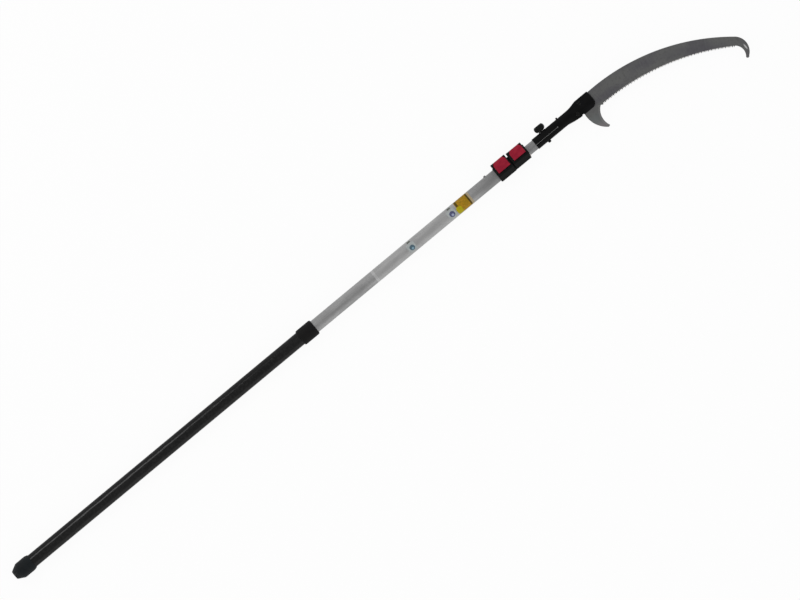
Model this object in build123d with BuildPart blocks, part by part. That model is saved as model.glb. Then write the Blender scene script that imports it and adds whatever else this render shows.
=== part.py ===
from build123d import *
from math import atan2, cos, degrees, hypot, pi, radians, sin, sqrt, tan
import os

# Telescoping pole saw: an oval pole in two sections with a locking latch, and a curved saw blade.
# Millimetres. +X runs along the pole toward the blade, +Y toward the back of the blade, +Z square
# to the blade. The origin is the middle of the butt cap's end face. The pole is closed up, lying
# on the cap and the latch, with the latch's levers on top.

os.makedirs("parts", exist_ok=True)

# ---------------------------------------------------------------- driving dimensions
# Pole section: an oval of four tangent arcs. Every oval in the pole is an offset of this one.
POLE_HEIGHT = 36.0  # along Y
POLE_WIDTH = 28.0  # along Z
POLE_END_RADIUS = 11.0
OUTER_WALL = 1.5
TUBE_GAP = 2.5  # between the two tubes, if they shared an axis
TUBE_SLACK = 0.4  # what is left of the gap on the tooth side
INNER_WALL = 1.4
TRAVEL = 1400.0  # how far the inner tube draws out

# Along the pole
CAP_SOCKET_START = 14.0  # thickness of the butt cap's end
OUTER_LENGTH = 1704.0
LATCH_GRASP = 51.0  # how much of the outer tube is in the latch
NECK_LENGTH = 27.0  # bare inner tube between latch and head, closed up
SOCKET_DEPTH = 95.0  # how much of the inner tube is in the head

# Butt cap
CAP_WALL = 5.0  # outside the pole's tall side
CAP_LIP_WALL = 2.4
CAP_FACE_RADIUS = 12.0
CAP_FACE_ROUND = 3.0
CAP_NOSE = 20.5  # length of the tapered end
CAP_LENGTH = 60.0
CAP_LIP = 8.0  # length of the taper down to the grip
CAP_SHOULDER_ROUND = 9.0

# Grip
GRIP_LENGTH = 973.0
GRIP_WALL = 1.0
COLLAR_LENGTH = 50.0
COLLAR_WALL = 4.75
COLLAR_ROUND = 4.5

# Stop rivet
STOP_TO_LATCH = 28.4
STOP_HEAD_RADIUS = 3.4
STOP_HEAD_HEIGHT = 3.0
STOP_HEAD_ROUND = 1.8
STOP_SHANK_RADIUS = 2.5
STOP_REACH = 2.9  # inside the tube
STOP_SLACK = 1.0  # left between guide and rivet at full stretch

# Guides that carry the inner tube
SEAT_FIT = 0.05  # radial, between pieces that don't move
SLIDE_CLEAR = 0.3
GUIDE_FLANGE = 15.0
GUIDE_SPIGOT = 35.0
GUIDE_WALL = 2.6
GUIDE_PIN_RADIUS = 2.0

# Lock holes in the inner tube
LOCK_STEPS = 4
LOCK_HOLE_RADIUS = 4.3

# Latch body: a sleeve with two raised housings, each with a pocket for one red lever.
# Heights are above the roof over the tubes, and sides are out from the pole's tall side.
POCKET_ROOF = 2.0  # wall over the outer tube
SLEEVE_WALLS = (4.0, 2.0)  # on the tooth side and on the back
SLEEVE_CROWN = 1.0
SLEEVE_ROUND = 6.0
LATCH_ENDS = (2.0, 2.4)  # sleeve left past the housings, rear and front
HOUSING_GAP = 5.1
HOUSING_WALLS = ((5.0, 13.0), (4.2, 10.8))  # on the tooth side and on the back
HOUSING_HEIGHT = 11.0
HOUSING_ROUND = 7.0
HOUSING_UNDERCUT = (9.0, 17.0)  # in Y and Z, under the levers
HOUSING_SLOPE = (15.0, 14.0)  # in Y and Z, on the tooth side
NOSE_CHAMFER = (5.0, 13.0)  # in X and Y, at the front of the sleeve
POCKET_LOW = -2.6  # in Y
POCKET_DEPTHS = (20.5, 25.0)  # beside the sleeve, from the housing's top
POCKET_CLEAR = 0.5
FOOT_ROUND = 3.0

# Red levers
LEVER_LENGTH = 38.5
LEVER_MARGINS = ((5.0, 2.9), (6.5, 3.1))  # housing left behind and before each lever
LEVER_LOW = -0.2  # in Y
LEVER_SUNK = 0.5  # below the housing's top
LEVER_WALL = 2.2
LEVER_BEND = 7.5  # outer radius where it curls over
LEVER_DROPS = (14.0, 17.5)  # from the tile's top to its free edge
LEVER_WEB = 1.2  # width of the hub's web, times the hub's radius
LEVER_CORNER = (5.0, 8.0)  # in X and Y, cut off both far corners
CORNER_CLEAR = 1.6  # in Y, between a lever's far corners and the housing
AXLE_RADIUS = 2.0
AXLE_FIT = 0.1
AXLE_END = 1.5  # solid housing left past one end of each axle

# Lock button and its pin
BUTTON_AXLE_Y = 15.0
BUTTON_AXLE_HEIGHT = 5.0  # above the roof
BUTTON_HUB_RADIUS = 3.8
PIN_Y = 2.4
PIN_RADIUS = 4.0
PIN_FIT = 0.1
PIN_RIDE = 0.3  # above the inner tube
PIN_POINT = 0.6  # chamfer
PIN_STEP = 0.9  # from the roof to the pin's shoulder
PIN_NECK_RADIUS = 2.5
PIN_NECK_LENGTH = 3.9
PIN_HEAD_RADIUS = 4.5
PIN_HEAD_HEIGHT = 2.0
FORK_THICKNESS = 2.0
FORK_GAP = 0.6  # under the pin's head
FORK_WIDTH = 13.0
FORK_SLOT_RADIUS = 3.0
FORK_REACH = 1.5  # past the pin's axis
SPRING_INSET = 6.0  # in Y, from the housing's back
SPRING_RADIUS = 2.6  # to the wire's centre
SPRING_WIRE = 0.8
SPRING_TURNS = 4
SPRING_GAP = 0.3

# Cam lever and brake shoe
CAM_AXLE_Y = 5.0
CAM_AXLE_HEIGHT = 5.5  # above the roof
CAM_HUB_RADIUS = 5.0
CAM_RADIUS = 5.3
CAM_OFFSET = 0.5
CAM_LENGTH = 18.0
SHOE_LENGTH = 22.0
SHOE_LOW = -7.0  # in Y
SHOE_HIGH = 11.0
SHOE_RIDE = 0.1  # above the inner tube
SHOE_CLEAR = 0.3

# Latch screws, driven from below
LATCH_SCREW_INSET = 12.5  # from either end of the outer tube's stretch in the latch
LATCH_SCREW_RADIUS = 2.0
LATCH_SCREW_HEAD_RADIUS = 3.6
LATCH_SCREW_HEAD_HEIGHT = 2.6
LATCH_SCREW_SUNK = 4.5  # from the foot to the seat of the head
LATCH_SCREW_BITE = 0.4  # past the tube's wall
SOCKET_SHARE = 0.6  # depth of a hexagon socket, of its screw's head

# Head: a clamping sleeve that flattens into a mouth for the blade
HEAD_WALL = 2.0
SOCKET_FLOOR = 5.0
FLARE_LENGTH = 56.0
MOUTH_LENGTH = 38.0
MOUTH_HIGH = 19.8  # in Y
MOUTH_LOW = -24.8
MOUTH_WIDTH = 17.2  # along Z
MOUTH_END_RADIUS = 5.0
FLARE_SECTIONS = 7
FLARE_POWERS = (2.0, 0.6)  # late on the back, early on the tooth side
NOTCH_PLACE = (-45.2, -25.6)  # X from the head's front end, and Y
NOTCH_RADIUS = 4.0
FRONT_BULGE = 2.0
FRONT_ROUND = 16.0
SLIT_WIDTH = 1.6
SLIT_Y = -5.0
SLIT_TO_PIN = 12.0  # from the end of the slit to the head pin
SLIT_HOLE_RADIUS = 2.2
HEAD_PIN_INSET = 8.4  # from the inner tube's end
HEAD_PIN_RADIUS = 2.5
HEAD_PIN_PROUD = 3.8  # on the back
HEAD_PIN_ROUND = 1.6

# Clamp bolt and knob
CLAMP_X = 35.0  # from the head's rear end
CLAMP_RADIUS = 3.0
CLAMP_HOLE_CLEAR = 0.2
CLAMP_HEAD_RADIUS = 4.5
CLAMP_HEAD_HEIGHT = 4.6
CLAMP_HEAD_ROUND = 3.3
CLAMP_POINT = 0.8  # chamfer
CLAMP_TIP_GAP = 0.8  # under the knob's roof
BOSS_RADIUS = 9.8
BOSS_PROUD = 0.5
WASHER_RADIUS = 9.6
WASHER_THICKNESS = 1.6
WASHER_GAP = 0.3
INSERT_RADIUS = 6.2
INSERT_COLLAR_RADIUS = 5.0
THREAD_CLEAR = 0.1
KNOB_HEIGHT = 16.4
KNOB_ROOF = 2.2
KNOB_BASE_RADIUS = 10.8
KNOB_RADIUS = 15.5
KNOB_BELLY = 7.4  # height of the widest part
KNOB_TOP_RADIUS = 11.2
KNOB_LOBES = 6
KNOB_FLUTE_RADIUS = 5.0
KNOB_FLUTE_DEPTH = 1.5
KNOB_ROUND = 1.2

# Blade bolts
BLADE_BOLT_RADIUS = 3.0
BLADE_BOLT_HEAD_RADIUS = 5.0
BLADE_BOLT_HEAD_HEIGHT = 3.0
BLADE_BOLT_CHAMFER = 0.8
BLADE_BOLT_SEAT = 6.2  # from the blade's middle plane
BLADE_HOLE_CLEAR = 0.2

# Blade: a plate with a sickle under its heel and a hook at its tip.
# Places on it are X from the head's front end and Y from the outer tube's axis.
BLADE_THICKNESS = 2.0
SPINE_THICKNESS = 1.3  # after the taper grind
BLADE_SIDE_CLEAR = 0.05  # in the head's slot
SLOT_CLEAR = 0.4  # at the slot's ends
BLADE_BOLT_PLACES = ((-56.0, -12.5), (-36.0, 8.0))
TANG_PLACES = ((-66.0, 4.0), (-66.0, -16.0), (-62.0, -20.2), (-46.0, -20.5))
SPINE_RADIUS = 587.0
SPINE_REAR = (-53.4, 12.4)
SPINE_FRONT = (395.2, -118.4)
TOOTH_RADIUS = 660.6  # through the tooth tips
HEEL_TOOTH = (13.1, -36.0)
TIP_TOOTH = (377.9, -140.9)
TOOTH_COUNT = 84
TOOTH_DEPTH = 5.2
TOOTH_FLEAM = 30.0  # slant of the grind across the plate
TOOTH_RAKE = 9.0
GRIND_DEPTH = 8.0  # flat band left behind the teeth
GRIND_ENDS = (1.2, 0.2)  # degrees left unground at the tip and at the heel
SICKLE_ROOT = (-41.7, -23.9)
SICKLE_BACK = (-35.6, -64.9)
SICKLE_TIP = ((-14.3, -90.4), (-10.4, -90.4), (-7.6, -88.3))
SICKLE_FRONT = (-11.8, -68.0)
SICKLE_GRIND = 6.0
SICKLE_GRIND_ANGLES = (128.0, 206.0)  # about the edge's centre
GULLET = (7.0, -32.2)
HOOK_ROOT = (382.6, -139.4)
HOOK_INSIDE = (393.3, -161.0)
HOOK_TIP = ((386.0, -181.1), (389.6, -186.2), (395.1, -183.0))
HOOK_OUTSIDE = (411.6, -152.0)
HOOK_GRIND = 7.0
HOOK_GRIND_ANGLES = (-46.0, 40.0)
EDGE_HALF = 0.2  # half the thickness of a ground edge
CUT_PAST = 1.0  # how far a cutter reaches past what it cuts


def oval(offset=0.0):
    """The pole's section, offset outward from the outer tube's skin."""
    end_radius = POLE_END_RADIUS + offset
    return four_arc_oval(POLE_HEIGHT / 2 + offset, POLE_WIDTH / 2 + offset, end_radius)


def four_arc_oval(half_height, half_width, end_radius):
    """An oval of two small end arcs and two flatter side arcs, all tangent."""
    end_centre = half_height - end_radius
    side_radius = (end_centre**2 + half_width**2 - end_radius**2) / (2 * (half_width - end_radius))
    reach = side_radius - half_width
    swing = degrees(atan2(reach, end_centre))
    with BuildSketch() as outline:
        with BuildLine():
            CenterArc((end_centre, 0), end_radius, -swing, 2 * swing)
            CenterArc((0, -reach), side_radius, swing, 180 - 2 * swing)
            CenterArc((-end_centre, 0), end_radius, 180 - swing, 2 * swing)
            CenterArc((0, reach), side_radius, 180 + swing, 180 - 2 * swing)
        make_face()
    return outline.sketch


# ---------------------------------------------------------------- stations and offsets
INNER_OFFSET = -(OUTER_WALL + TUBE_GAP)  # the inner tube's skin
INNER_AXIS_Y = -(TUBE_GAP - TUBE_SLACK)
INNER_CROWN = POLE_WIDTH / 2 + INNER_OFFSET  # Z of the inner tube's flat side
HEAD_OFFSET = INNER_OFFSET + HEAD_WALL
HEAD_LENGTH = SOCKET_DEPTH + SOCKET_FLOOR + FLARE_LENGTH + MOUTH_LENGTH
CAP_RADIUS = POLE_HEIGHT / 2 + CAP_WALL
FOOT_Z = -CAP_RADIUS
HOUSING_LENGTHS = [LEVER_LENGTH + sum(margins) for margins in LEVER_MARGINS]
LATCH_LENGTH = sum(LATCH_ENDS) + HOUSING_GAP + sum(HOUSING_LENGTHS)
OUTER_END = CAP_SOCKET_START + OUTER_LENGTH
LATCH_START = OUTER_END - LATCH_GRASP
LATCH_END = LATCH_START + LATCH_LENGTH
HEAD_START = LATCH_END + NECK_LENGTH
HEAD_END = HEAD_START + HEAD_LENGTH
STOP_X = LATCH_START - STOP_TO_LATCH
INNER_START = STOP_X - STOP_SHANK_RADIUS - STOP_SLACK - TRAVEL
INNER_END = HEAD_START + SOCKET_DEPTH
HOUSING_STARTS = [LATCH_START + LATCH_ENDS[0]]
HOUSING_STARTS.append(HOUSING_STARTS[0] + HOUSING_LENGTHS[0] + HOUSING_GAP)
LEVER_STARTS = [start + margins[0] for start, margins in zip(HOUSING_STARTS, LEVER_MARGINS)]
PIN_X, SHOE_X = [start + LEVER_LENGTH / 2 for start in LEVER_STARTS]
SCREW_PLACES = [(LATCH_START + LATCH_SCREW_INSET, 0), (OUTER_END - LATCH_SCREW_INSET, 0)]
ROOF_Z = POLE_WIDTH / 2 + POCKET_ROOF
HOUSING_TOP = ROOF_Z + HOUSING_HEIGHT
SLEEVE_LOW, SLEEVE_HIGH = -POLE_HEIGHT / 2 - SLEEVE_WALLS[0], POLE_HEIGHT / 2 + SLEEVE_WALLS[1]
HOUSING_LOWS = [-POLE_HEIGHT / 2 - walls[0] for walls in HOUSING_WALLS]
HOUSING_HIGHS = [POLE_HEIGHT / 2 + walls[1] for walls in HOUSING_WALLS]
LEVER_TOP = HOUSING_TOP - LEVER_SUNK
BUTTON_AXLE = (BUTTON_AXLE_Y, ROOF_Z + BUTTON_AXLE_HEIGHT)
CAM_AXLE = (CAM_AXLE_Y, ROOF_Z + CAM_AXLE_HEIGHT)
PIN_SHOULDER = ROOF_Z + PIN_STEP
HEAD_PIN_X = INNER_END - HEAD_PIN_INSET
CLAMP_AXIS = Axis((HEAD_START + CLAMP_X, 0, 0), (0, 1, 0))
CROSS_HOLES = (
    (HEAD_START + CLAMP_X, CLAMP_RADIUS + CLAMP_HOLE_CLEAR),
    (HEAD_PIN_X, HEAD_PIN_RADIUS + SEAT_FIT),
)
BLADE_HALF = BLADE_THICKNESS / 2
BLADE_BOLTS = [(HEAD_END + x, y) for x, y in BLADE_BOLT_PLACES]


def side_plane(x, y):
    """A plane facing +Y, for holes and pins across the pole."""
    return Plane(origin=(x, y, 0), x_dir=(1, 0, 0), z_dir=(0, 1, 0))


def arc_centre(start, end, radius):
    """Centre of the arc that bulges up from start to end, with start on the left."""
    run, rise = end[0] - start[0], end[1] - start[1]
    chord = hypot(run, rise)
    depth = sqrt(radius**2 - (chord / 2) ** 2)
    return ((start[0] + end[0]) / 2 + depth * rise / chord, (start[1] + end[1]) / 2 - depth * run / chord)


def polar_angle(centre, point):
    return degrees(atan2(point[1] - centre[1], point[0] - centre[0]))


def on_circle(centre, radius, angle):
    return (centre[0] + radius * cos(radians(angle)), centre[1] + radius * sin(radians(angle)))


def placed(point):
    """A place on the blade, in the model's own X and Y."""
    return (HEAD_END + point[0], point[1])


def lever_plan(x_start, x_end, low, high, shoulder, corner):
    """Plan of a lever or of its pocket: a rectangle with both far corners cut off."""
    with BuildSketch() as plan:
        with BuildLine():
            Polyline(
                (x_start, low),
                (x_start, shoulder),
                (x_start + corner, high),
                (x_end - corner, high),
                (x_end, shoulder),
                (x_end, low),
                close=True,
            )
        make_face()
    return plan.sketch


# ---------------------------------------------------------------- outer tube
with BuildPart() as outer_tube:
    with BuildSketch(Plane.YZ.offset(CAP_SOCKET_START)):
        add(oval())
        add(oval(-OUTER_WALL), mode=Mode.SUBTRACT)
    extrude(amount=OUTER_LENGTH)
    # ways through for the lock pin, the stop rivet and the latch screws
    with Locations((PIN_X, PIN_Y, ROOF_Z)):
        Hole(PIN_RADIUS + SHOE_CLEAR, depth=ROOF_Z)
    with Locations(side_plane(STOP_X, POLE_HEIGHT / 2)):
        Hole(STOP_SHANK_RADIUS + SEAT_FIT, depth=POLE_HEIGHT / 2)
    with Locations(*[(x, y, -POLE_WIDTH) for x, y in SCREW_PLACES]):
        Hole(LATCH_SCREW_RADIUS + SEAT_FIT, depth=POLE_WIDTH)

# ---------------------------------------------------------------- grip sleeve and collar
GRIP_END = CAP_SOCKET_START + GRIP_LENGTH

with BuildPart() as grip_sleeve:
    with BuildSketch(Plane.YZ.offset(CAP_SOCKET_START)):
        add(oval(GRIP_WALL))
        add(oval(SEAT_FIT), mode=Mode.SUBTRACT)
    extrude(amount=GRIP_LENGTH)

with BuildPart() as grip_collar:
    with BuildSketch(Plane.YZ.offset(GRIP_END)):
        add(oval(COLLAR_WALL))
    extrude(amount=COLLAR_LENGTH)
    collar_edges = grip_collar.edges().group_by(Axis.X)
    fillet(collar_edges[0] + collar_edges[-1], COLLAR_ROUND)
    with BuildSketch(Plane.YZ.offset(GRIP_END)):
        add(oval(SEAT_FIT))
    extrude(amount=COLLAR_LENGTH, mode=Mode.SUBTRACT)

# ---------------------------------------------------------------- butt cap
with BuildPart() as butt_cap:
    with BuildSketch() as cap_half:
        with BuildLine():
            Polyline(
                (0, 0),
                (0, CAP_FACE_RADIUS),
                (CAP_NOSE, CAP_RADIUS),
                (CAP_LENGTH - CAP_LIP, CAP_RADIUS),
                (CAP_LENGTH, POLE_HEIGHT / 2 + CAP_LIP_WALL),
                (CAP_LENGTH, 0),
                close=True,
            )
        make_face()
        fillet(cap_half.vertices().group_by(Axis.X)[0].sort_by(Axis.Y)[-1], CAP_FACE_ROUND)
        fillet(cap_half.vertices().group_by(Axis.Y)[-1], CAP_SHOULDER_ROUND)
    revolve(axis=Axis.X)
    with BuildSketch(Plane.YZ.offset(CAP_SOCKET_START)):
        add(oval(GRIP_WALL + SEAT_FIT))
    extrude(amount=CAP_LENGTH, mode=Mode.SUBTRACT)

# ---------------------------------------------------------------- stop rivet
with BuildPart() as stop_rivet:
    with BuildSketch():
        with Locations((STOP_X, POLE_HEIGHT / 2 + STOP_HEAD_HEIGHT)):
            Rectangle(STOP_HEAD_RADIUS, STOP_HEAD_HEIGHT * 2, align=(Align.MIN, Align.MAX))
        with Locations((STOP_X, POLE_HEIGHT / 2)):
            Rectangle(STOP_SHANK_RADIUS, OUTER_WALL + STOP_REACH, align=(Align.MIN, Align.MAX))
    revolve(axis=Axis((STOP_X, 0, 0), (0, 1, 0)))
    fillet(stop_rivet.edges().group_by(Axis.Y)[-1], STOP_HEAD_ROUND)
    add(outer_tube.part, mode=Mode.SUBTRACT)
    # the head's underside fits the tube, so what was cut off inside the wall goes
    with BuildSketch(Plane.YZ.offset(STOP_X - STOP_HEAD_RADIUS)):
        add(oval(-OUTER_WALL))
    extrude(amount=STOP_HEAD_RADIUS * 2, mode=Mode.SUBTRACT)
    with Locations(side_plane(STOP_X, POLE_HEIGHT / 2)):
        Cylinder(STOP_SHANK_RADIUS, OUTER_WALL + STOP_REACH, align=(Align.CENTER, Align.CENTER, Align.MAX))

# ---------------------------------------------------------------- latch body
with BuildPart() as latch_body:
    with BuildSketch(Plane.YZ.offset(LATCH_START)) as sleeve:
        with Locations((SLEEVE_LOW, FOOT_Z)):
            Rectangle(SLEEVE_HIGH - SLEEVE_LOW, ROOF_Z + SLEEVE_CROWN - FOOT_Z, align=Align.MIN)
        fillet(sleeve.vertices().group_by(Axis.Y)[-1], SLEEVE_ROUND)
        fillet(sleeve.vertices().group_by(Axis.Y)[0], FOOT_ROUND)
    extrude(amount=LATCH_LENGTH)
    # the front of the sleeve is cut away on the tooth side
    with BuildSketch(Plane.XY.offset(FOOT_Z)):
        with BuildLine():
            Polyline(
                (LATCH_END - NOSE_CHAMFER[0], SLEEVE_LOW),
                (LATCH_END, SLEEVE_LOW + NOSE_CHAMFER[1]),
                (LATCH_END, SLEEVE_LOW),
                close=True,
            )
        make_face()
    extrude(amount=HOUSING_TOP - FOOT_Z, mode=Mode.SUBTRACT)
    for i, (low, high) in enumerate(zip(HOUSING_LOWS, HOUSING_HIGHS)):
        with BuildSketch(Plane.YZ.offset(HOUSING_STARTS[i])) as housing:
            with BuildLine():
                Polyline(
                    (low, FOOT_Z),
                    (high - HOUSING_UNDERCUT[0], FOOT_Z),
                    (high, FOOT_Z + HOUSING_UNDERCUT[1]),
                    (high, HOUSING_TOP),
                    (low + HOUSING_SLOPE[0], HOUSING_TOP),
                    (low, HOUSING_TOP - HOUSING_SLOPE[1]),
                    close=True,
                )
            make_face()
            fillet(housing.vertices().group_by(Axis.Y)[0], FOOT_ROUND)
            fillet(housing.vertices().group_by(Axis.Y)[-1], HOUSING_ROUND)
        extrude(amount=HOUSING_LENGTHS[i])
        # the pocket: shallow over the tube, deep beside the sleeve
        pocket = lever_plan(
            LEVER_STARTS[i] - POCKET_CLEAR,
            LEVER_STARTS[i] + LEVER_LENGTH + POCKET_CLEAR,
            POCKET_LOW,
            high + CORNER_CLEAR,
            high + CORNER_CLEAR - LEVER_CORNER[1],
            LEVER_CORNER[0],
        )
        with BuildSketch(Plane.XY.offset(ROOF_Z)):
            add(pocket)
        extrude(amount=HOUSING_HEIGHT, mode=Mode.SUBTRACT)
        with BuildSketch(Plane.XY.offset(HOUSING_TOP - POCKET_DEPTHS[i])):
            add(pocket)
            with Locations((LEVER_STARTS[i], SLEEVE_HIGH)):
                Rectangle(LATCH_LENGTH, HOUSING_HEIGHT + POLE_HEIGHT, align=Align.MIN, mode=Mode.INTERSECT)
        extrude(amount=POCKET_DEPTHS[i], mode=Mode.SUBTRACT)
    # the bore holds the outer tube and the guide bush
    with BuildSketch(Plane.YZ.offset(LATCH_START)):
        add(oval(SEAT_FIT))
    extrude(amount=LATCH_LENGTH, mode=Mode.SUBTRACT)
    with Locations((PIN_X, PIN_Y, ROOF_Z)):
        Hole(PIN_RADIUS + PIN_FIT, depth=ROOF_Z)
    with BuildSketch(Plane.XY):
        with Locations((SHOE_X, SHOE_LOW - SHOE_CLEAR)):
            Rectangle(
                SHOE_LENGTH + 2 * SHOE_CLEAR,
                SHOE_HIGH - SHOE_LOW + 2 * SHOE_CLEAR,
                align=(Align.CENTER, Align.MIN),
            )
    extrude(amount=ROOF_Z, mode=Mode.SUBTRACT)
    # each axle goes in from its housing's outer end
    for i, (axle_y, axle_z) in enumerate((BUTTON_AXLE, CAM_AXLE)):
        with BuildSketch(Plane.YZ.offset(HOUSING_STARTS[i] + i * AXLE_END)):
            with Locations((axle_y, axle_z)):
                Circle(AXLE_RADIUS + SEAT_FIT)
        extrude(amount=HOUSING_LENGTHS[i] - AXLE_END, mode=Mode.SUBTRACT)
    # seats for the screws, from below
    with Locations(*[(x, y, FOOT_Z) for x, y in SCREW_PLACES]):
        Cylinder(
            LATCH_SCREW_HEAD_RADIUS + SLIDE_CLEAR,
            LATCH_SCREW_SUNK,
            align=(Align.CENTER, Align.CENTER, Align.MIN),
            mode=Mode.SUBTRACT,
        )
        Cylinder(
            LATCH_SCREW_RADIUS + SEAT_FIT,
            -FOOT_Z,
            align=(Align.CENTER, Align.CENTER, Align.MIN),
            mode=Mode.SUBTRACT,
        )

with BuildPart() as latch_screws:
    seat = FOOT_Z + LATCH_SCREW_SUNK
    tip = -POLE_WIDTH / 2 + OUTER_WALL + LATCH_SCREW_BITE
    with Locations(*[(x, y, seat) for x, y in SCREW_PLACES]):
        Cylinder(
            LATCH_SCREW_HEAD_RADIUS,
            LATCH_SCREW_HEAD_HEIGHT,
            align=(Align.CENTER, Align.CENTER, Align.MAX),
        )
        Cylinder(LATCH_SCREW_RADIUS, tip - seat, align=(Align.CENTER, Align.CENTER, Align.MIN))
    # hexagon sockets
    with BuildSketch(Plane.XY.offset(seat - LATCH_SCREW_HEAD_HEIGHT)):
        with Locations(*SCREW_PLACES):
            RegularPolygon(LATCH_SCREW_HEAD_RADIUS / 2, 6)
    extrude(amount=LATCH_SCREW_HEAD_HEIGHT * SOCKET_SHARE, mode=Mode.SUBTRACT)

# ---------------------------------------------------------------- guide bush
BUSH_START = OUTER_END + SLIDE_CLEAR

with BuildPart() as guide_bush:
    with BuildSketch(Plane.YZ.offset(BUSH_START)):
        add(oval(-SEAT_FIT))
        with Locations((INNER_AXIS_Y, 0)):
            add(oval(INNER_OFFSET + SLIDE_CLEAR), mode=Mode.SUBTRACT)
    extrude(amount=LATCH_END - BUSH_START)
    # window for the brake shoe
    with BuildSketch(Plane.XY):
        with Locations((SHOE_X, SHOE_LOW - SHOE_CLEAR)):
            Rectangle(
                SHOE_LENGTH + 2 * SHOE_CLEAR,
                SHOE_HIGH - SHOE_LOW + 2 * SHOE_CLEAR,
                align=(Align.CENTER, Align.MIN),
            )
    extrude(amount=ROOF_Z, mode=Mode.SUBTRACT)


# ---------------------------------------------------------------- lock button and cam lever
def lever_shell(index, axle, hub_radius):
    """A tile that curls over the housing's edge, closed at both ends and carried by a hub."""
    start, high, lip = LEVER_STARTS[index], HOUSING_HIGHS[index], LEVER_TOP - LEVER_DROPS[index]
    axle_y, axle_z = axle
    under = LEVER_TOP - LEVER_WALL
    half_wall = LEVER_WALL / 2
    with BuildPart() as shell:
        with BuildSketch(Plane.YZ.offset(start)) as band:
            with BuildLine():
                Polyline(
                    (LEVER_LOW, LEVER_TOP),
                    (high, LEVER_TOP),
                    (high, lip),
                    (high - LEVER_WALL, lip),
                    (high - LEVER_WALL, under),
                    (LEVER_LOW, under),
                    close=True,
                )
            make_face()
            outer_bend = band.vertices().sort_by_distance((high, LEVER_TOP, 0))[0]
            fillet(outer_bend, LEVER_BEND)
            inner_bend = band.vertices().sort_by_distance((high - LEVER_WALL, under, 0))[0]
            fillet(inner_bend, LEVER_BEND - LEVER_WALL)
        extrude(amount=LEVER_LENGTH)
        # end walls
        for wall_start in (start, start + LEVER_LENGTH - LEVER_WALL):
            with BuildSketch(Plane.YZ.offset(wall_start)):
                with BuildLine():
                    Polyline(
                        (axle_y, LEVER_TOP - half_wall),
                        (axle_y, axle_z - hub_radius / 2),
                        (SLEEVE_HIGH, axle_z - hub_radius / 2),
                        (high - half_wall, lip + LEVER_WALL),
                        (high - half_wall, LEVER_TOP - LEVER_BEND),
                        (high - LEVER_BEND, LEVER_TOP - half_wall),
                        close=True,
                    )
                make_face()
            extrude(amount=LEVER_WALL)
        # hub, joined to the tile by a web
        with BuildSketch(Plane.YZ.offset(start)):
            with Locations((axle_y, axle_z)):
                Circle(hub_radius)
                Rectangle(hub_radius * LEVER_WEB, under + half_wall - axle_z, align=(Align.CENTER, Align.MIN))
        extrude(amount=LEVER_LENGTH)
        # far corners cut off in plan
        end, shoulder = start + LEVER_LENGTH, high - LEVER_CORNER[1]
        with BuildSketch(Plane.XY):
            add(lever_plan(start, end, HOUSING_LOWS[index], high, shoulder, LEVER_CORNER[0]))
        extrude(amount=2 * LEVER_TOP, mode=Mode.INTERSECT)
    return shell.part


with BuildPart() as lock_button:
    add(lever_shell(0, BUTTON_AXLE, BUTTON_HUB_RADIUS))
    # fork under the pin's head
    fork_top = PIN_SHOULDER + PIN_NECK_LENGTH - FORK_GAP
    with BuildSketch(Plane.XY.offset(fork_top)):
        with Locations((PIN_X, PIN_Y - FORK_REACH)):
            Rectangle(
                FORK_WIDTH,
                BUTTON_AXLE[0] - PIN_Y + FORK_REACH,
                align=(Align.CENTER, Align.MIN),
            )
        with Locations((PIN_X, PIN_Y)):
            Circle(FORK_SLOT_RADIUS, mode=Mode.SUBTRACT)
            Rectangle(
                2 * FORK_SLOT_RADIUS,
                2 * FORK_REACH,
                align=(Align.CENTER, Align.MAX),
                mode=Mode.SUBTRACT,
            )
    extrude(amount=-FORK_THICKNESS)
    with BuildSketch(Plane.YZ.offset(LEVER_STARTS[0])):
        with Locations(BUTTON_AXLE):
            Circle(AXLE_RADIUS + AXLE_FIT)
    extrude(amount=LEVER_LENGTH, mode=Mode.SUBTRACT)

with BuildPart() as cam_lever:
    add(lever_shell(1, CAM_AXLE, CAM_HUB_RADIUS))
    with BuildSketch(Plane.YZ.offset(SHOE_X - CAM_LENGTH / 2)):
        with Locations((CAM_AXLE[0], CAM_AXLE[1] - CAM_OFFSET)):
            Circle(CAM_RADIUS)
    extrude(amount=CAM_LENGTH)
    with BuildSketch(Plane.YZ.offset(LEVER_STARTS[1])):
        with Locations(CAM_AXLE):
            Circle(AXLE_RADIUS + AXLE_FIT)
    extrude(amount=LEVER_LENGTH, mode=Mode.SUBTRACT)

# axles, short of both ends of their holes
with BuildPart() as button_axle:
    with BuildSketch(Plane.YZ.offset(HOUSING_STARTS[0] + SLIDE_CLEAR)):
        with Locations(BUTTON_AXLE):
            Circle(AXLE_RADIUS)
    extrude(amount=HOUSING_LENGTHS[0] - AXLE_END - 2 * SLIDE_CLEAR)

with BuildPart() as cam_axle:
    with BuildSketch(Plane.YZ.offset(HOUSING_STARTS[1] + AXLE_END + SLIDE_CLEAR)):
        with Locations(CAM_AXLE):
            Circle(AXLE_RADIUS)
    extrude(amount=HOUSING_LENGTHS[1] - AXLE_END - 2 * SLIDE_CLEAR)

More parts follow.
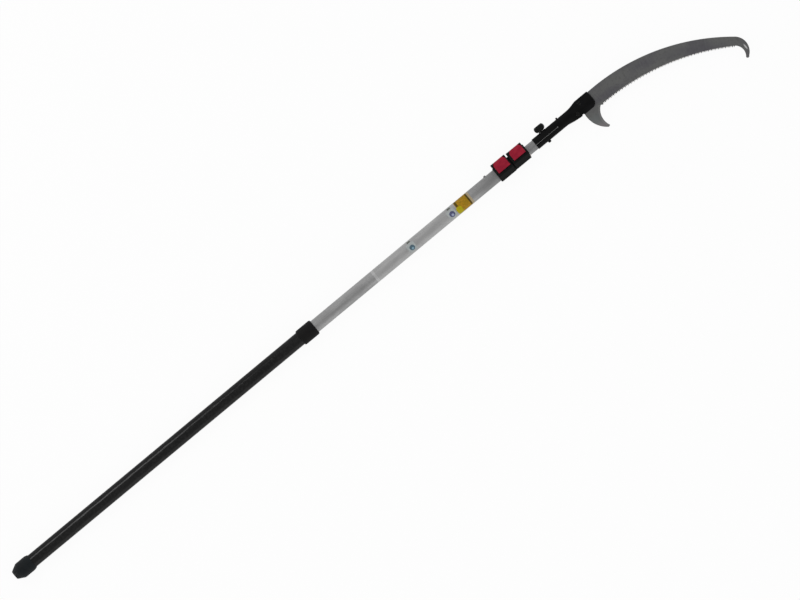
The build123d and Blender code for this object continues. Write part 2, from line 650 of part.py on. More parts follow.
# ---------------------------------------------------------------- lock pin
with BuildPart() as lock_pin:
    pin_foot = INNER_CROWN + PIN_RIDE
    head_z = PIN_SHOULDER + PIN_NECK_LENGTH
    centred = (Align.CENTER, Align.CENTER, Align.MIN)
    with Locations((PIN_X, PIN_Y, pin_foot)):
        Cylinder(PIN_RADIUS, PIN_SHOULDER - pin_foot, align=centred)
    chamfer(lock_pin.edges().group_by(Axis.Z)[0], PIN_POINT)
    with Locations((PIN_X, PIN_Y, PIN_SHOULDER)):
        Cylinder(PIN_NECK_RADIUS, PIN_NECK_LENGTH, align=centred)
    with Locations((PIN_X, PIN_Y, head_z)):
        Cylinder(PIN_HEAD_RADIUS, PIN_HEAD_HEIGHT, align=centred)

# ---------------------------------------------------------------- button spring
SPRING_FOOT = HOUSING_TOP - POCKET_DEPTHS[0] + SPRING_WIRE / 2 + SPRING_GAP
SPRING_LENGTH = LEVER_TOP - LEVER_WALL - SPRING_WIRE / 2 - SPRING_GAP - SPRING_FOOT
SPRING_CENTRE = (PIN_X, HOUSING_HIGHS[0] - SPRING_INSET, SPRING_FOOT)

with BuildPart() as button_spring:
    with BuildLine() as coil:
        Helix(SPRING_LENGTH / SPRING_TURNS, SPRING_LENGTH, SPRING_RADIUS, center=SPRING_CENTRE)
    with BuildSketch(Plane(origin=coil.line @ 0, z_dir=coil.line % 0)):
        RegularPolygon(SPRING_WIRE / 2, 6)
    sweep(is_frenet=True)

# ---------------------------------------------------------------- brake shoe
with BuildPart() as brake_shoe:
    shoe_top = CAM_AXLE[1] - CAM_OFFSET - CAM_RADIUS - SLIDE_CLEAR
    with BuildSketch(Plane.YZ.offset(SHOE_X - SHOE_LENGTH / 2)):
        with Locations((SHOE_LOW, 0)):
            Rectangle(SHOE_HIGH - SHOE_LOW, shoe_top, align=Align.MIN)
        with Locations((INNER_AXIS_Y, 0)):
            add(oval(INNER_OFFSET + SHOE_RIDE), mode=Mode.SUBTRACT)
    extrude(amount=SHOE_LENGTH)

# ---------------------------------------------------------------- inner tube
with BuildPart() as inner_tube:
    with BuildSketch(Plane.YZ.offset(INNER_START)):
        with Locations((INNER_AXIS_Y, 0)):
            add(oval(INNER_OFFSET))
            add(oval(INNER_OFFSET - INNER_WALL), mode=Mode.SUBTRACT)
    extrude(amount=INNER_END - INNER_START)
    # lock holes, one for each stop short of closed
    lock_holes = [PIN_X - TRAVEL * (k + 1) / LOCK_STEPS for k in range(LOCK_STEPS)]
    with Locations(*[(x, PIN_Y, INNER_CROWN) for x in lock_holes]):
        Hole(LOCK_HOLE_RADIUS, depth=INNER_CROWN)
    # across the head end: clamp bolt and head pin
    with BuildSketch(side_plane(0, 0)):
        for x, radius in CROSS_HOLES:
            with Locations((x, 0)):
                Circle(radius)
    extrude(amount=POLE_HEIGHT, both=True, mode=Mode.SUBTRACT)
    with Locations((INNER_START + GUIDE_SPIGOT / 2, INNER_AXIS_Y, POLE_WIDTH)):
        Hole(GUIDE_PIN_RADIUS + SEAT_FIT, depth=2 * POLE_WIDTH)

# ---------------------------------------------------------------- rear guide and its pin
with BuildPart() as rear_guide:
    with BuildSketch(Plane.YZ.offset(INNER_START)):
        add(oval(-OUTER_WALL - SLIDE_CLEAR))
    extrude(amount=-GUIDE_FLANGE)
    with BuildSketch(Plane.YZ.offset(INNER_START)):
        with Locations((INNER_AXIS_Y, 0)):
            add(oval(INNER_OFFSET - INNER_WALL - SEAT_FIT))
    extrude(amount=GUIDE_SPIGOT)
    with BuildSketch(Plane.YZ.offset(INNER_START - GUIDE_FLANGE)):
        with Locations((INNER_AXIS_Y, 0)):
            add(oval(INNER_OFFSET - INNER_WALL - GUIDE_WALL))
    extrude(amount=GUIDE_FLANGE + GUIDE_SPIGOT, mode=Mode.SUBTRACT)
    with Locations((INNER_START + GUIDE_SPIGOT / 2, INNER_AXIS_Y, POLE_WIDTH)):
        Hole(GUIDE_PIN_RADIUS + SEAT_FIT, depth=2 * POLE_WIDTH)

with BuildPart() as guide_pin:
    with Locations((INNER_START + GUIDE_SPIGOT / 2, INNER_AXIS_Y, 0)):
        Cylinder(GUIDE_PIN_RADIUS, 2 * INNER_CROWN)

# ---------------------------------------------------------------- head
BOSS_FACE = INNER_AXIS_Y + POLE_HEIGHT / 2 + HEAD_OFFSET + BOSS_PROUD
FLOOR_FACE = INNER_AXIS_Y - POLE_HEIGHT / 2 - HEAD_OFFSET - BOSS_PROUD
TANG = [placed(point) for point in TANG_PLACES]
TANG_REAR = TANG[0][0]
SPINE_CENTRE = arc_centre(placed(SPINE_REAR), placed(SPINE_FRONT), SPINE_RADIUS)


def blend(start, end, share):
    """From start to end, level at both."""
    return start + (end - start) * (1 - cos(pi * share)) / 2


with BuildPart() as head_socket:
    with BuildSketch(Plane.YZ.offset(HEAD_START)):
        with Locations((INNER_AXIS_Y, 0)):
            add(oval(HEAD_OFFSET))
    extrude(amount=SOCKET_DEPTH + SOCKET_FLOOR)
    # flare from the sleeve's oval to the mouth's
    for step in range(FLARE_SECTIONS):
        share = step / (FLARE_SECTIONS - 1)
        high = blend(INNER_AXIS_Y + POLE_HEIGHT / 2 + HEAD_OFFSET, MOUTH_HIGH, share ** FLARE_POWERS[0])
        low = blend(INNER_AXIS_Y - POLE_HEIGHT / 2 - HEAD_OFFSET, MOUTH_LOW, share ** FLARE_POWERS[1])
        half_width = blend(POLE_WIDTH / 2 + HEAD_OFFSET, MOUTH_WIDTH / 2, share)
        end_radius = blend(POLE_END_RADIUS + HEAD_OFFSET, MOUTH_END_RADIUS, share)
        with BuildSketch(Plane.YZ.offset(HEAD_END - MOUTH_LENGTH - FLARE_LENGTH * (1 - share))):
            with Locations(((high + low) / 2, 0)):
                add(four_arc_oval((high - low) / 2, half_width, end_radius))
    loft()
    with BuildSketch(Plane.YZ.offset(HEAD_END - MOUTH_LENGTH)):
        with Locations(((MOUTH_HIGH + MOUTH_LOW) / 2, 0)):
            add(four_arc_oval((MOUTH_HIGH - MOUTH_LOW) / 2, MOUTH_WIDTH / 2, MOUTH_END_RADIUS))
    extrude(amount=MOUTH_LENGTH + FRONT_BULGE)
    # flat seats for the knob's washer and the bolt's head
    with Locations(side_plane(HEAD_START + CLAMP_X, BOSS_FACE)):
        Cylinder(BOSS_RADIUS, BOSS_FACE, align=(Align.CENTER, Align.CENTER, Align.MAX))
    with Locations(side_plane(HEAD_START + CLAMP_X, FLOOR_FACE)):
        Cylinder(CLAMP_HEAD_RADIUS, -FLOOR_FACE, align=(Align.CENTER, Align.CENTER, Align.MIN))
    # the front: square at the back of the blade, bulged, rounded away at the bottom
    with BuildSketch(Plane.XY) as side_view:
        with BuildLine():
            TangentArc((HEAD_END + FRONT_BULGE, 0), (HEAD_END, MOUTH_HIGH), tangent=(0, 1))
            Polyline(
                (HEAD_END + FRONT_BULGE, 0),
                (HEAD_END + FRONT_BULGE, MOUTH_LOW),
                (HEAD_START, MOUTH_LOW),
                (HEAD_START, 2 * MOUTH_HIGH),
                (HEAD_END, 2 * MOUTH_HIGH),
                (HEAD_END, MOUTH_HIGH),
            )
        make_face()
        low_front = side_view.vertices().sort_by_distance((HEAD_END + FRONT_BULGE, MOUTH_LOW, 0))[0]
        fillet(low_front, FRONT_ROUND)
    extrude(amount=POLE_WIDTH, both=True, mode=Mode.INTERSECT)
    # finger notch under the root of the sickle
    with BuildSketch(Plane.XY):
        with Locations((HEAD_END + NOTCH_PLACE[0], NOTCH_PLACE[1])):
            Circle(NOTCH_RADIUS)
    extrude(amount=MOUTH_WIDTH, both=True, mode=Mode.SUBTRACT)
    # socket for the inner tube
    with BuildSketch(Plane.YZ.offset(HEAD_START)):
        with Locations((INNER_AXIS_Y, 0)):
            add(oval(INNER_OFFSET + SEAT_FIT))
    extrude(amount=SOCKET_DEPTH + SLIDE_CLEAR, mode=Mode.SUBTRACT)
    # clamping slit, ending in a round hole
    slit_end = HEAD_PIN_X - SLIT_TO_PIN
    with BuildSketch(Plane.XY):
        with Locations((HEAD_START, SLIT_Y)):
            Rectangle(slit_end - HEAD_START, SLIT_WIDTH, align=(Align.MIN, Align.CENTER))
        with Locations((slit_end, SLIT_Y)):
            Circle(SLIT_HOLE_RADIUS)
    extrude(amount=POLE_WIDTH, both=True, mode=Mode.SUBTRACT)
    with BuildSketch(side_plane(0, 0)):
        for x, radius in CROSS_HOLES:
            with Locations((x, 0)):
                Circle(radius)
    extrude(amount=POLE_HEIGHT, both=True, mode=Mode.SUBTRACT)
    # slot for the blade, open at the front and on the tooth side
    with BuildSketch(Plane.XY):
        with Locations((TANG_REAR - SLOT_CLEAR, 2 * MOUTH_LOW)):
            Rectangle(HEAD_LENGTH, 3 * MOUTH_HIGH - 2 * MOUTH_LOW, align=Align.MIN)
        with Locations(SPINE_CENTRE):
            Circle(SPINE_RADIUS + SLOT_CLEAR, mode=Mode.INTERSECT)
    extrude(amount=BLADE_HALF + BLADE_SIDE_CLEAR, both=True, mode=Mode.SUBTRACT)
    # blade bolts: seats on both sides, then through
    for z_dir in (1, -1):
        for bolt_x, bolt_y in BLADE_BOLTS:
            with Locations(Plane(origin=(bolt_x, bolt_y, z_dir * BLADE_BOLT_SEAT), z_dir=(0, 0, z_dir))):
                Cylinder(
                    BLADE_BOLT_HEAD_RADIUS + SLIDE_CLEAR,
                    MOUTH_WIDTH,
                    align=(Align.CENTER, Align.CENTER, Align.MIN),
                    mode=Mode.SUBTRACT,
                )
    with Locations(*[(x, y, POLE_WIDTH) for x, y in BLADE_BOLTS]):
        Hole(BLADE_BOLT_RADIUS + BLADE_HOLE_CLEAR, depth=2 * POLE_WIDTH)

with BuildPart() as head_pin:
    pin_top = INNER_AXIS_Y + POLE_HEIGHT / 2 + HEAD_OFFSET + HEAD_PIN_PROUD
    pin_length = pin_top - INNER_AXIS_Y + POLE_HEIGHT / 2 + HEAD_OFFSET
    with Locations(side_plane(HEAD_PIN_X, pin_top)):
        Cylinder(HEAD_PIN_RADIUS, pin_length, align=(Align.CENTER, Align.CENTER, Align.MAX))
    fillet(head_pin.edges().group_by(Axis.Y)[-1], HEAD_PIN_ROUND)

# ---------------------------------------------------------------- clamp bolt, washer and knob
WASHER_LOW = BOSS_FACE + WASHER_GAP
KNOB_LOW = WASHER_LOW + WASHER_THICKNESS + WASHER_GAP
KNOB_TOP = KNOB_LOW + KNOB_HEIGHT
KNOB_CAVITY = KNOB_TOP - KNOB_ROOF

with BuildPart() as clamp_bolt:
    with Locations(side_plane(HEAD_START + CLAMP_X, FLOOR_FACE)):
        Cylinder(CLAMP_HEAD_RADIUS, CLAMP_HEAD_HEIGHT, align=(Align.CENTER, Align.CENTER, Align.MAX))
    fillet(clamp_bolt.edges().group_by(Axis.Y)[0], CLAMP_HEAD_ROUND)
    with Locations(side_plane(HEAD_START + CLAMP_X, FLOOR_FACE)):
        shank = KNOB_CAVITY - CLAMP_TIP_GAP - FLOOR_FACE
        Cylinder(CLAMP_RADIUS, shank, align=(Align.CENTER, Align.CENTER, Align.MIN))
    chamfer(clamp_bolt.edges().group_by(Axis.Y)[-1], CLAMP_POINT)

with BuildPart() as knob_washer:
    with BuildSketch(side_plane(HEAD_START + CLAMP_X, WASHER_LOW)):
        Circle(WASHER_RADIUS)
        Circle(INSERT_COLLAR_RADIUS + SLIDE_CLEAR, mode=Mode.SUBTRACT)
    extrude(amount=WASHER_THICKNESS)

with BuildPart() as knob_insert:
    with BuildSketch(side_plane(HEAD_START + CLAMP_X, WASHER_LOW)):
        Circle(INSERT_COLLAR_RADIUS)
    extrude(amount=KNOB_LOW - WASHER_LOW)
    with BuildSketch(side_plane(HEAD_START + CLAMP_X, KNOB_LOW)):
        RegularPolygon(INSERT_RADIUS, 6)
    extrude(amount=KNOB_CAVITY - KNOB_LOW)
    with Locations(side_plane(HEAD_START + CLAMP_X, KNOB_CAVITY)):
        Hole(CLAMP_RADIUS + THREAD_CLEAR, depth=KNOB_CAVITY)

with BuildPart() as clamp_knob:
    with BuildSketch(Plane.XY):
        knob_x = HEAD_START + CLAMP_X
        with BuildLine():
            ThreePointArc(
                (knob_x + KNOB_BASE_RADIUS, KNOB_LOW),
                (knob_x + KNOB_RADIUS, KNOB_LOW + KNOB_BELLY),
                (knob_x + KNOB_TOP_RADIUS, KNOB_TOP),
            )
            Polyline(
                (knob_x + KNOB_TOP_RADIUS, KNOB_TOP),
                (knob_x, KNOB_TOP),
                (knob_x, KNOB_LOW),
                (knob_x + KNOB_BASE_RADIUS, KNOB_LOW),
            )
        make_face()
    revolve(axis=CLAMP_AXIS)
    # finger flutes
    with BuildSketch(side_plane(knob_x, KNOB_LOW)):
        with PolarLocations(KNOB_RADIUS + KNOB_FLUTE_RADIUS - KNOB_FLUTE_DEPTH, KNOB_LOBES):
            Circle(KNOB_FLUTE_RADIUS)
    extrude(amount=KNOB_TOP, mode=Mode.SUBTRACT)
    fillet(clamp_knob.edges().group_by(Axis.Y)[-1], KNOB_ROUND)
    with BuildSketch(side_plane(knob_x, KNOB_LOW)):
        RegularPolygon(INSERT_RADIUS + SEAT_FIT, 6)
    extrude(amount=KNOB_CAVITY - KNOB_LOW, mode=Mode.SUBTRACT)

# ---------------------------------------------------------------- blade
TOOTH_CENTRE = arc_centre(placed(HEEL_TOOTH), placed(TIP_TOOTH), TOOTH_RADIUS)
HEEL_ANGLE = polar_angle(TOOTH_CENTRE, placed(HEEL_TOOTH))
TIP_ANGLE = polar_angle(TOOTH_CENTRE, placed(TIP_TOOTH))
TOOTH_STEP = (HEEL_ANGLE - TIP_ANGLE) / (TOOTH_COUNT - 1)
TOOTH_PITCH = TOOTH_RADIUS * radians(TOOTH_STEP)


def gullets(first):
    """Every second slanted V ground between the teeth, counted from first."""
    slant = radians(TOOTH_FLEAM if first == 0 else -TOOTH_FLEAM)
    half = BLADE_HALF + CUT_PAST / 4
    open_half = TOOTH_PITCH / 2 + BLADE_HALF * tan(radians(TOOTH_FLEAM))
    lean = TOOTH_DEPTH * tan(radians(TOOTH_RAKE))
    rear_slope, front_slope = (open_half + lean) / TOOTH_DEPTH, (open_half - lean) / TOOTH_DEPTH
    cutters = []
    for i in range(first, TOOTH_COUNT - 1, 2):
        angle = HEEL_ANGLE - (i + 0.5) * TOOTH_STEP
        along = Vector(sin(radians(angle)), -cos(radians(angle)), 0)
        origin = Vector(*on_circle(TOOTH_CENTRE, TOOTH_RADIUS, angle), -half) - along * (half * tan(slant))
        with BuildPart() as cutter:
            with BuildSketch(Plane(origin=origin, x_dir=along, z_dir=(0, 0, 1))):
                with BuildLine():
                    Polyline(
                        (lean, TOOTH_DEPTH),
                        (-open_half - rear_slope * CUT_PAST, -CUT_PAST),
                        (open_half + front_slope * CUT_PAST, -CUT_PAST),
                        close=True,
                    )
                make_face()
            extrude(amount=2 * half / cos(slant), dir=along * sin(slant) + Vector(0, 0, cos(slant)))
        cutters.append(cutter.part)
    return cutters


def grind(centre, start_angle, end_angle, start, end):
    """A ring cut on both faces. It slopes from start to end, each a radius and a height left."""
    outward = Vector(cos(radians(start_angle)), sin(radians(start_angle)), 0)
    section = Plane(origin=(*centre, 0), x_dir=outward, z_dir=outward.cross(Vector(0, 0, 1)))
    with BuildPart() as ring:
        with BuildSketch(section):
            for side in (1, -1):
                with BuildLine():
                    Polyline(
                        (start[0], side * start[1]),
                        (end[0], side * end[1]),
                        (end[0], side * BLADE_THICKNESS),
                        (start[0], side * BLADE_THICKNESS),
                        close=True,
                    )
                make_face()
        revolve(axis=Axis((*centre, 0), (0, 0, 1)), revolution_arc=end_angle - start_angle)
    return ring.part


def bevel(edge, width, start_angle, end_angle):
    """The ring cut that sharpens a hollow edge of the blade."""
    slope = (BLADE_HALF - EDGE_HALF) / width
    centre = (edge.arc_center.X, edge.arc_center.Y)
    inner = (edge.radius - CUT_PAST, EDGE_HALF - slope * CUT_PAST)
    outer = (edge.radius + width, BLADE_HALF)
    return grind(centre, start_angle, end_angle, inner, outer)


with BuildPart() as blade:
    with BuildSketch(Plane.XY):
        with BuildLine():
            spine_rear_angle = polar_angle(SPINE_CENTRE, placed(SPINE_REAR))
            spine_front_angle = polar_angle(SPINE_CENTRE, placed(SPINE_FRONT))
            CenterArc(SPINE_CENTRE, SPINE_RADIUS, spine_front_angle, spine_rear_angle - spine_front_angle)
            Polyline(placed(SPINE_REAR), *TANG, placed(SICKLE_ROOT))
            ThreePointArc(placed(SICKLE_ROOT), placed(SICKLE_BACK), placed(SICKLE_TIP[0]))
            ThreePointArc(*[placed(point) for point in SICKLE_TIP])
            sickle_edge = ThreePointArc(placed(SICKLE_TIP[2]), placed(SICKLE_FRONT), placed(GULLET))
            Line(placed(GULLET), placed(HEEL_TOOTH))
            CenterArc(TOOTH_CENTRE, TOOTH_RADIUS, TIP_ANGLE, HEEL_ANGLE - TIP_ANGLE)
            Line(placed(TIP_TOOTH), placed(HOOK_ROOT))
            hook_edge = ThreePointArc(placed(HOOK_ROOT), placed(HOOK_INSIDE), placed(HOOK_TIP[0]))
            ThreePointArc(*[placed(point) for point in HOOK_TIP])
            ThreePointArc(placed(HOOK_TIP[2]), placed(HOOK_OUTSIDE), placed(SPINE_FRONT))
        make_face()
    extrude(amount=BLADE_HALF, both=True)
    # taper grind, thinner toward the spine
    spine_reach = SPINE_CENTRE[1] + SPINE_RADIUS - TOOTH_CENTRE[1] + GRIND_DEPTH
    add(
        grind(
            TOOTH_CENTRE,
            TIP_ANGLE + GRIND_ENDS[0],
            HEEL_ANGLE - GRIND_ENDS[1],
            (TOOTH_RADIUS + GRIND_DEPTH, BLADE_HALF),
            (spine_reach, SPINE_THICKNESS / 2),
        ),
        mode=Mode.SUBTRACT,
    )
    add(bevel(sickle_edge, SICKLE_GRIND, *SICKLE_GRIND_ANGLES), mode=Mode.SUBTRACT)
    add(bevel(hook_edge, HOOK_GRIND, *HOOK_GRIND_ANGLES), mode=Mode.SUBTRACT)
    add(gullets(0), mode=Mode.SUBTRACT)
    add(gullets(1), mode=Mode.SUBTRACT)
    with Locations(*[(x, y, POLE_WIDTH) for x, y in BLADE_BOLTS]):
        Hole(BLADE_BOLT_RADIUS + BLADE_HOLE_CLEAR, depth=2 * POLE_WIDTH)

# ---------------------------------------------------------------- blade bolts and nuts
with BuildPart() as blade_bolts:
    with Locations(*[(x, y, BLADE_BOLT_SEAT) for x, y in BLADE_BOLTS]):
        Cylinder(
            BLADE_BOLT_HEAD_RADIUS, BLADE_BOLT_HEAD_HEIGHT, align=(Align.CENTER, Align.CENTER, Align.MIN)
        )
    chamfer(blade_bolts.edges().group_by(Axis.Z)[-1], BLADE_BOLT_CHAMFER)
    with Locations(*[(x, y, BLADE_BOLT_SEAT) for x, y in BLADE_BOLTS]):
        Cylinder(
            BLADE_BOLT_RADIUS,
            2 * BLADE_BOLT_SEAT + BLADE_BOLT_HEAD_HEIGHT,
            align=(Align.CENTER, Align.CENTER, Align.MAX),
        )
    with BuildSketch(Plane.XY.offset(BLADE_BOLT_SEAT + BLADE_BOLT_HEAD_HEIGHT)):
        with Locations(*BLADE_BOLTS):
            RegularPolygon(BLADE_BOLT_HEAD_RADIUS / 2, 6)
    extrude(amount=-BLADE_BOLT_HEAD_HEIGHT * SOCKET_SHARE, mode=Mode.SUBTRACT)

with BuildPart() as blade_nuts:
    with BuildSketch(Plane.XY.offset(-BLADE_BOLT_SEAT)):
        with Locations(*BLADE_BOLTS):
            RegularPolygon(BLADE_BOLT_HEAD_RADIUS, 6)
            Circle(BLADE_BOLT_RADIUS + THREAD_CLEAR, mode=Mode.SUBTRACT)
    extrude(amount=-BLADE_BOLT_HEAD_HEIGHT)

# ---------------------------------------------------------------- one file for each piece
pieces = {
    "outer_tube": outer_tube,
    "grip_sleeve": grip_sleeve,
    "grip_collar": grip_collar,
    "butt_cap": butt_cap,
    "stop_rivet": stop_rivet,
    "latch_body": latch_body,
    "latch_screws": latch_screws,
    "guide_bush": guide_bush,
    "lock_button": lock_button,
    "button_axle": button_axle,
    "button_spring": button_spring,
    "lock_pin": lock_pin,
    "cam_lever": cam_lever,
    "cam_axle": cam_axle,
    "brake_shoe": brake_shoe,
    "inner_tube": inner_tube,
    "rear_guide": rear_guide,
    "guide_pin": guide_pin,
    "head_socket": head_socket,
    "head_pin": head_pin,
    "clamp_bolt": clamp_bolt,
    "knob_washer": knob_washer,
    "knob_insert": knob_insert,
    "clamp_knob": clamp_knob,
    "blade": blade,
    "blade_bolts": blade_bolts,
    "blade_nuts": blade_nuts,
}
for name, piece in pieces.items():
    piece.part.label = name
    export_step(piece.part, f"parts/{name}.step")
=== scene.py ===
# %% [markdown]
# # A telescoping pole saw, dressed around its solids
#
# A pole saw cuts branches that are out of reach. Two oval aluminium tubes slide in each other, a
# latch with two red levers holds them, and a clamping head carries a curved blade. The solids come
# from CAD and are exact, so Blender's work is what CAD leaves out: the finish of each surface, the
# thin film and labels stuck on the pole, a spring, the light and the camera.
#
# The solids are loaded as a fixed frame. They are never moved and their meshes never change. The
# box around them is kept, and the floor is laid at its foot.

# %% Load the solids
from math import pi, radians

import bpy
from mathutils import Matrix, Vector


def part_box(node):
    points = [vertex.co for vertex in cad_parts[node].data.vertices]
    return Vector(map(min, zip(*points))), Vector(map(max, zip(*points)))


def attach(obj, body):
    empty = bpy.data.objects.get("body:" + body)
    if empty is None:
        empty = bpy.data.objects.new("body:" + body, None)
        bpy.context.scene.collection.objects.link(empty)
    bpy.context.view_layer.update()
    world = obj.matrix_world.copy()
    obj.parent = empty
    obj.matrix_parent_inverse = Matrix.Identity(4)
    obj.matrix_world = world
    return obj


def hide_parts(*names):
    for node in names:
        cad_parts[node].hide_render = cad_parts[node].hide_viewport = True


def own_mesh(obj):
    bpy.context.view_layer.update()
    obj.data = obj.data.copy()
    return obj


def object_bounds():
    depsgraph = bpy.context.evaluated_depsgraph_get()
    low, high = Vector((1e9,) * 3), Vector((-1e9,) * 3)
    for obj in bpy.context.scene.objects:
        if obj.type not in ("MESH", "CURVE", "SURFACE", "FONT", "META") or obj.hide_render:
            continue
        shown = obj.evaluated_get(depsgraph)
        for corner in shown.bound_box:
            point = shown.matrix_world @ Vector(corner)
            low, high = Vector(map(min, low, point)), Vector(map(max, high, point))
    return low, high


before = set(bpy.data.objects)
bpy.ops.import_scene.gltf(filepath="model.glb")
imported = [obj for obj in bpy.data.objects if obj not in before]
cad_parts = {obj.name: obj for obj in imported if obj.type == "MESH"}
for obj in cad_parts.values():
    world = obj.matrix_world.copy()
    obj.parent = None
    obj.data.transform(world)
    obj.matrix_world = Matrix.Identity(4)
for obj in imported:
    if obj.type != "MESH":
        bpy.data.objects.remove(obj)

cad_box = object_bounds()
MM = 0.001

# %% [markdown]
# ## How a finish is made
#
# A flat colour looks like a drawing. Real surfaces vary: metal keeps the lines of the tool, rubber
# gets dusty, plastic shines more where hands rub it. Such variation could be painted on an image,
# but noise worked out from a point's place needs no unwrapping and is sharp at any distance. Each
# finish below is a Principled shader fed by a few of these patterns, so the first helpers make a
# material and add a node to it.

# %% Helpers: a material and its nodes
def new_finish(name, **sockets):
    """A material whose Principled shader has the given values. Underscores stand for spaces."""
    finish = bpy.data.materials.new(name)
    finish.use_nodes = True
    shader = finish.node_tree.nodes["Principled BSDF"]
    for socket, value in sockets.items():
        shader.inputs[socket.replace("_", " ")].default_value = value
    return finish


def node(finish, kind, inputs, output=0, **settings):
    """Adds a node, sets or links its inputs, and returns one of its outputs."""
    made = finish.node_tree.nodes.new(kind)
    for name, value in settings.items():
        setattr(made, name, value)
    for name, value in inputs.items():
        if isinstance(value, bpy.types.NodeSocket):
            finish.node_tree.links.new(value, made.inputs[name])
        else:
            made.inputs[name].default_value = value
    return made.outputs[output]


def feed(finish, **sockets):
    """Links patterns to the shader's sockets."""
    shader = finish.node_tree.nodes["Principled BSDF"]
    for socket, value in sockets.items():
        finish.node_tree.links.new(value, shader.inputs[socket.replace("_", " ")])


# %% [markdown]
# ## Patterns
#
# Four patterns serve every finish. **Grain** is noise with a real size in metres along each axis,
# so a long X and short Y and Z give lines along the pole. **Levels** turns part of a pattern's
# range into useful numbers. **Mix** blends two colours. **Relief** tilts the surface as if the
# pattern were cut into it, which is right for marks too fine to model. Where a finish changes from
# place to place, one coordinate of the point, or its distance from a centre, steers it.
#
# Edges are found with the Bevel node: it rounds the normal near an edge, and where that differs
# from the true one there is an edge. Painting wear by hand would do it too, but would have to be
# done again after each change of shape.

# %% Helpers: patterns
def place(finish):
    """The point's place on the object, in metres."""
    return node(finish, "ShaderNodeTexCoord", {}, "Object")


def coordinate(finish, vector, axis):
    """One coordinate of a vector. The axis is "X", "Y" or "Z"."""
    return node(finish, "ShaderNodeSeparateXYZ", {"Vector": vector}, axis)


def vector_math(finish, operation, first, second=None, output="Vector"):
    """An operation on one or two vectors. A length or a dot product comes out as "Value"."""
    inputs = {0: first} if second is None else {0: first, 1: second}
    return node(finish, "ShaderNodeVectorMath", inputs, output, operation=operation)


def grain(finish, size, detail=3.0, at=None):
    """Noise between 0 and 1 with grains of the given size (one number, or one for each axis)."""
    sizes = size if isinstance(size, tuple) else (size, size, size)
    scale = [1 / s for s in sizes]
    scaled = node(finish, "ShaderNodeMapping", {"Vector": at or place(finish), "Scale": scale})
    return node(finish, "ShaderNodeTexNoise", {"Vector": scaled, "Scale": 1.0, "Detail": detail})


def levels(finish, value, low, high, start=0.0, end=1.0):
    """Turns low to high into start to end, with soft ends."""
    inputs = {"Value": value, "From Min": low, "From Max": high, "To Min": start, "To Max": end}
    return node(finish, "ShaderNodeMapRange", inputs, interpolation_type="SMOOTHSTEP")


def mix(finish, amount, first, second):
    """The first colour where amount is 0, the second where it is 1."""
    colours = [c if isinstance(c, bpy.types.NodeSocket) else (*c, 1.0) for c in (first, second)]
    inputs = {0: amount, 6: colours[0], 7: colours[1]}
    return node(finish, "ShaderNodeMix", inputs, 2, data_type="RGBA")


def times(finish, first, second):
    """The product of two patterns."""
    return node(finish, "ShaderNodeMath", {0: first, 1: second}, operation="MULTIPLY")


def relief(finish, height, depth, over=None):
    """A normal that shows height as relief of that depth in metres, over an earlier relief."""
    inputs = {"Height": height, "Distance": depth}
    if over:
        inputs["Normal"] = over
    return node(finish, "ShaderNodeBump", inputs)


SAME_NORMAL, TURNED_NORMAL = 0.995, 0.9  # how well both normals agree, off an edge and on one


def edges(finish, radius):
    """1 on an edge of the solid and 0 away from it."""
    rounded = node(finish, "ShaderNodeBevel", {"Radius": radius})
    true = node(finish, "ShaderNodeNewGeometry", {}, "Normal")
    alike = vector_math(finish, "DOT_PRODUCT", rounded, true, "Value")
    return levels(finish, alike, SAME_NORMAL, TURNED_NORMAL)


def dress(finish, *names):
    """Gives a finish to solids of the frame."""
    for name in names:
        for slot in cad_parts[name].material_slots:
            slot.material = finish
    print(finish.name, "on", ", ".join(names))


# %% [markdown]
# ## Tubes
#
# The tubes are drawn aluminium with a satin anodised skin. Drawing leaves lines along the tube,
# handling leaves broad duller patches and small stains. So a grain half a metre long and a
# millimetre across gives the lines, one as wide as a palm gives the patches, and one of a few
# millimetres gives the stains. The outer tube grows darker and darker over the last eight
# centimetres below the latch. The inner tube is a shade darker all over, since it rubs in the latch
# at each stroke.

# %% Anodised aluminium
BELOW_LATCH = (1.56, 1.64)
NOWHERE = (9.0, 10.0)  # stations beyond the pole's end


def tube_finish(name, dark, light, rough, darker_between):
    """A drawn tube. Its colour gets darker and darker between the two given stations."""
    finish = new_finish(name, Metallic=1.0)
    along = coordinate(finish, place(finish), "X")
    lines = grain(finish, (0.5, 1.3 * MM, 1.3 * MM), detail=4.0)
    hands = grain(finish, (0.09, 0.03, 0.03), detail=2.0)
    tone = mix(finish, levels(finish, lines, 0.3, 0.7), dark, light)
    worn = [0.84 * c for c in dark]
    tone = mix(finish, levels(finish, hands, 0.45, 0.75, 0.0, 0.5), tone, worn)
    stains = grain(finish, 6 * MM, detail=3.0)
    tone = mix(finish, levels(finish, stains, 0.45, 0.7, 0.0, 0.4), tone, worn)
    darkened = [0.72 * c for c in dark]
    # darker and darker between the two given stations; on the outer tube these end at the latch
    tone = mix(finish, levels(finish, along, *darker_between, 0.0, 0.55), tone, darkened)
    feed(finish, Base_Color=tone, Roughness=levels(finish, hands, 0.3, 0.75, rough, rough + 0.16))
    feed(finish, Normal=relief(finish, lines, 0.02 * MM))
    return finish


aluminium = tube_finish(
    "anodised_tube", (0.315, 0.315, 0.315), (0.405, 0.405, 0.405), 0.40, darker_between=BELOW_LATCH
)
worn_aluminium = tube_finish(
    "worn_inner_tube", (0.240, 0.240, 0.241), (0.310, 0.310, 0.311), 0.42, darker_between=NOWHERE
)
dress(aluminium, "outer_tube", "stop_rivet")
dress(worn_aluminium, "inner_tube")

# %% [markdown]
# ## Rubber
#
# The grip is a sleeve of smooth rubber shrunk on the tube. It shines in one long broken band,
# because shrinking leaves it a little uneven. That unevenness is a broad, shallow relief under a
# fine skin. The clear coat is given it too, since it would otherwise shine in a straight line.
# Hands leave small grey smears.

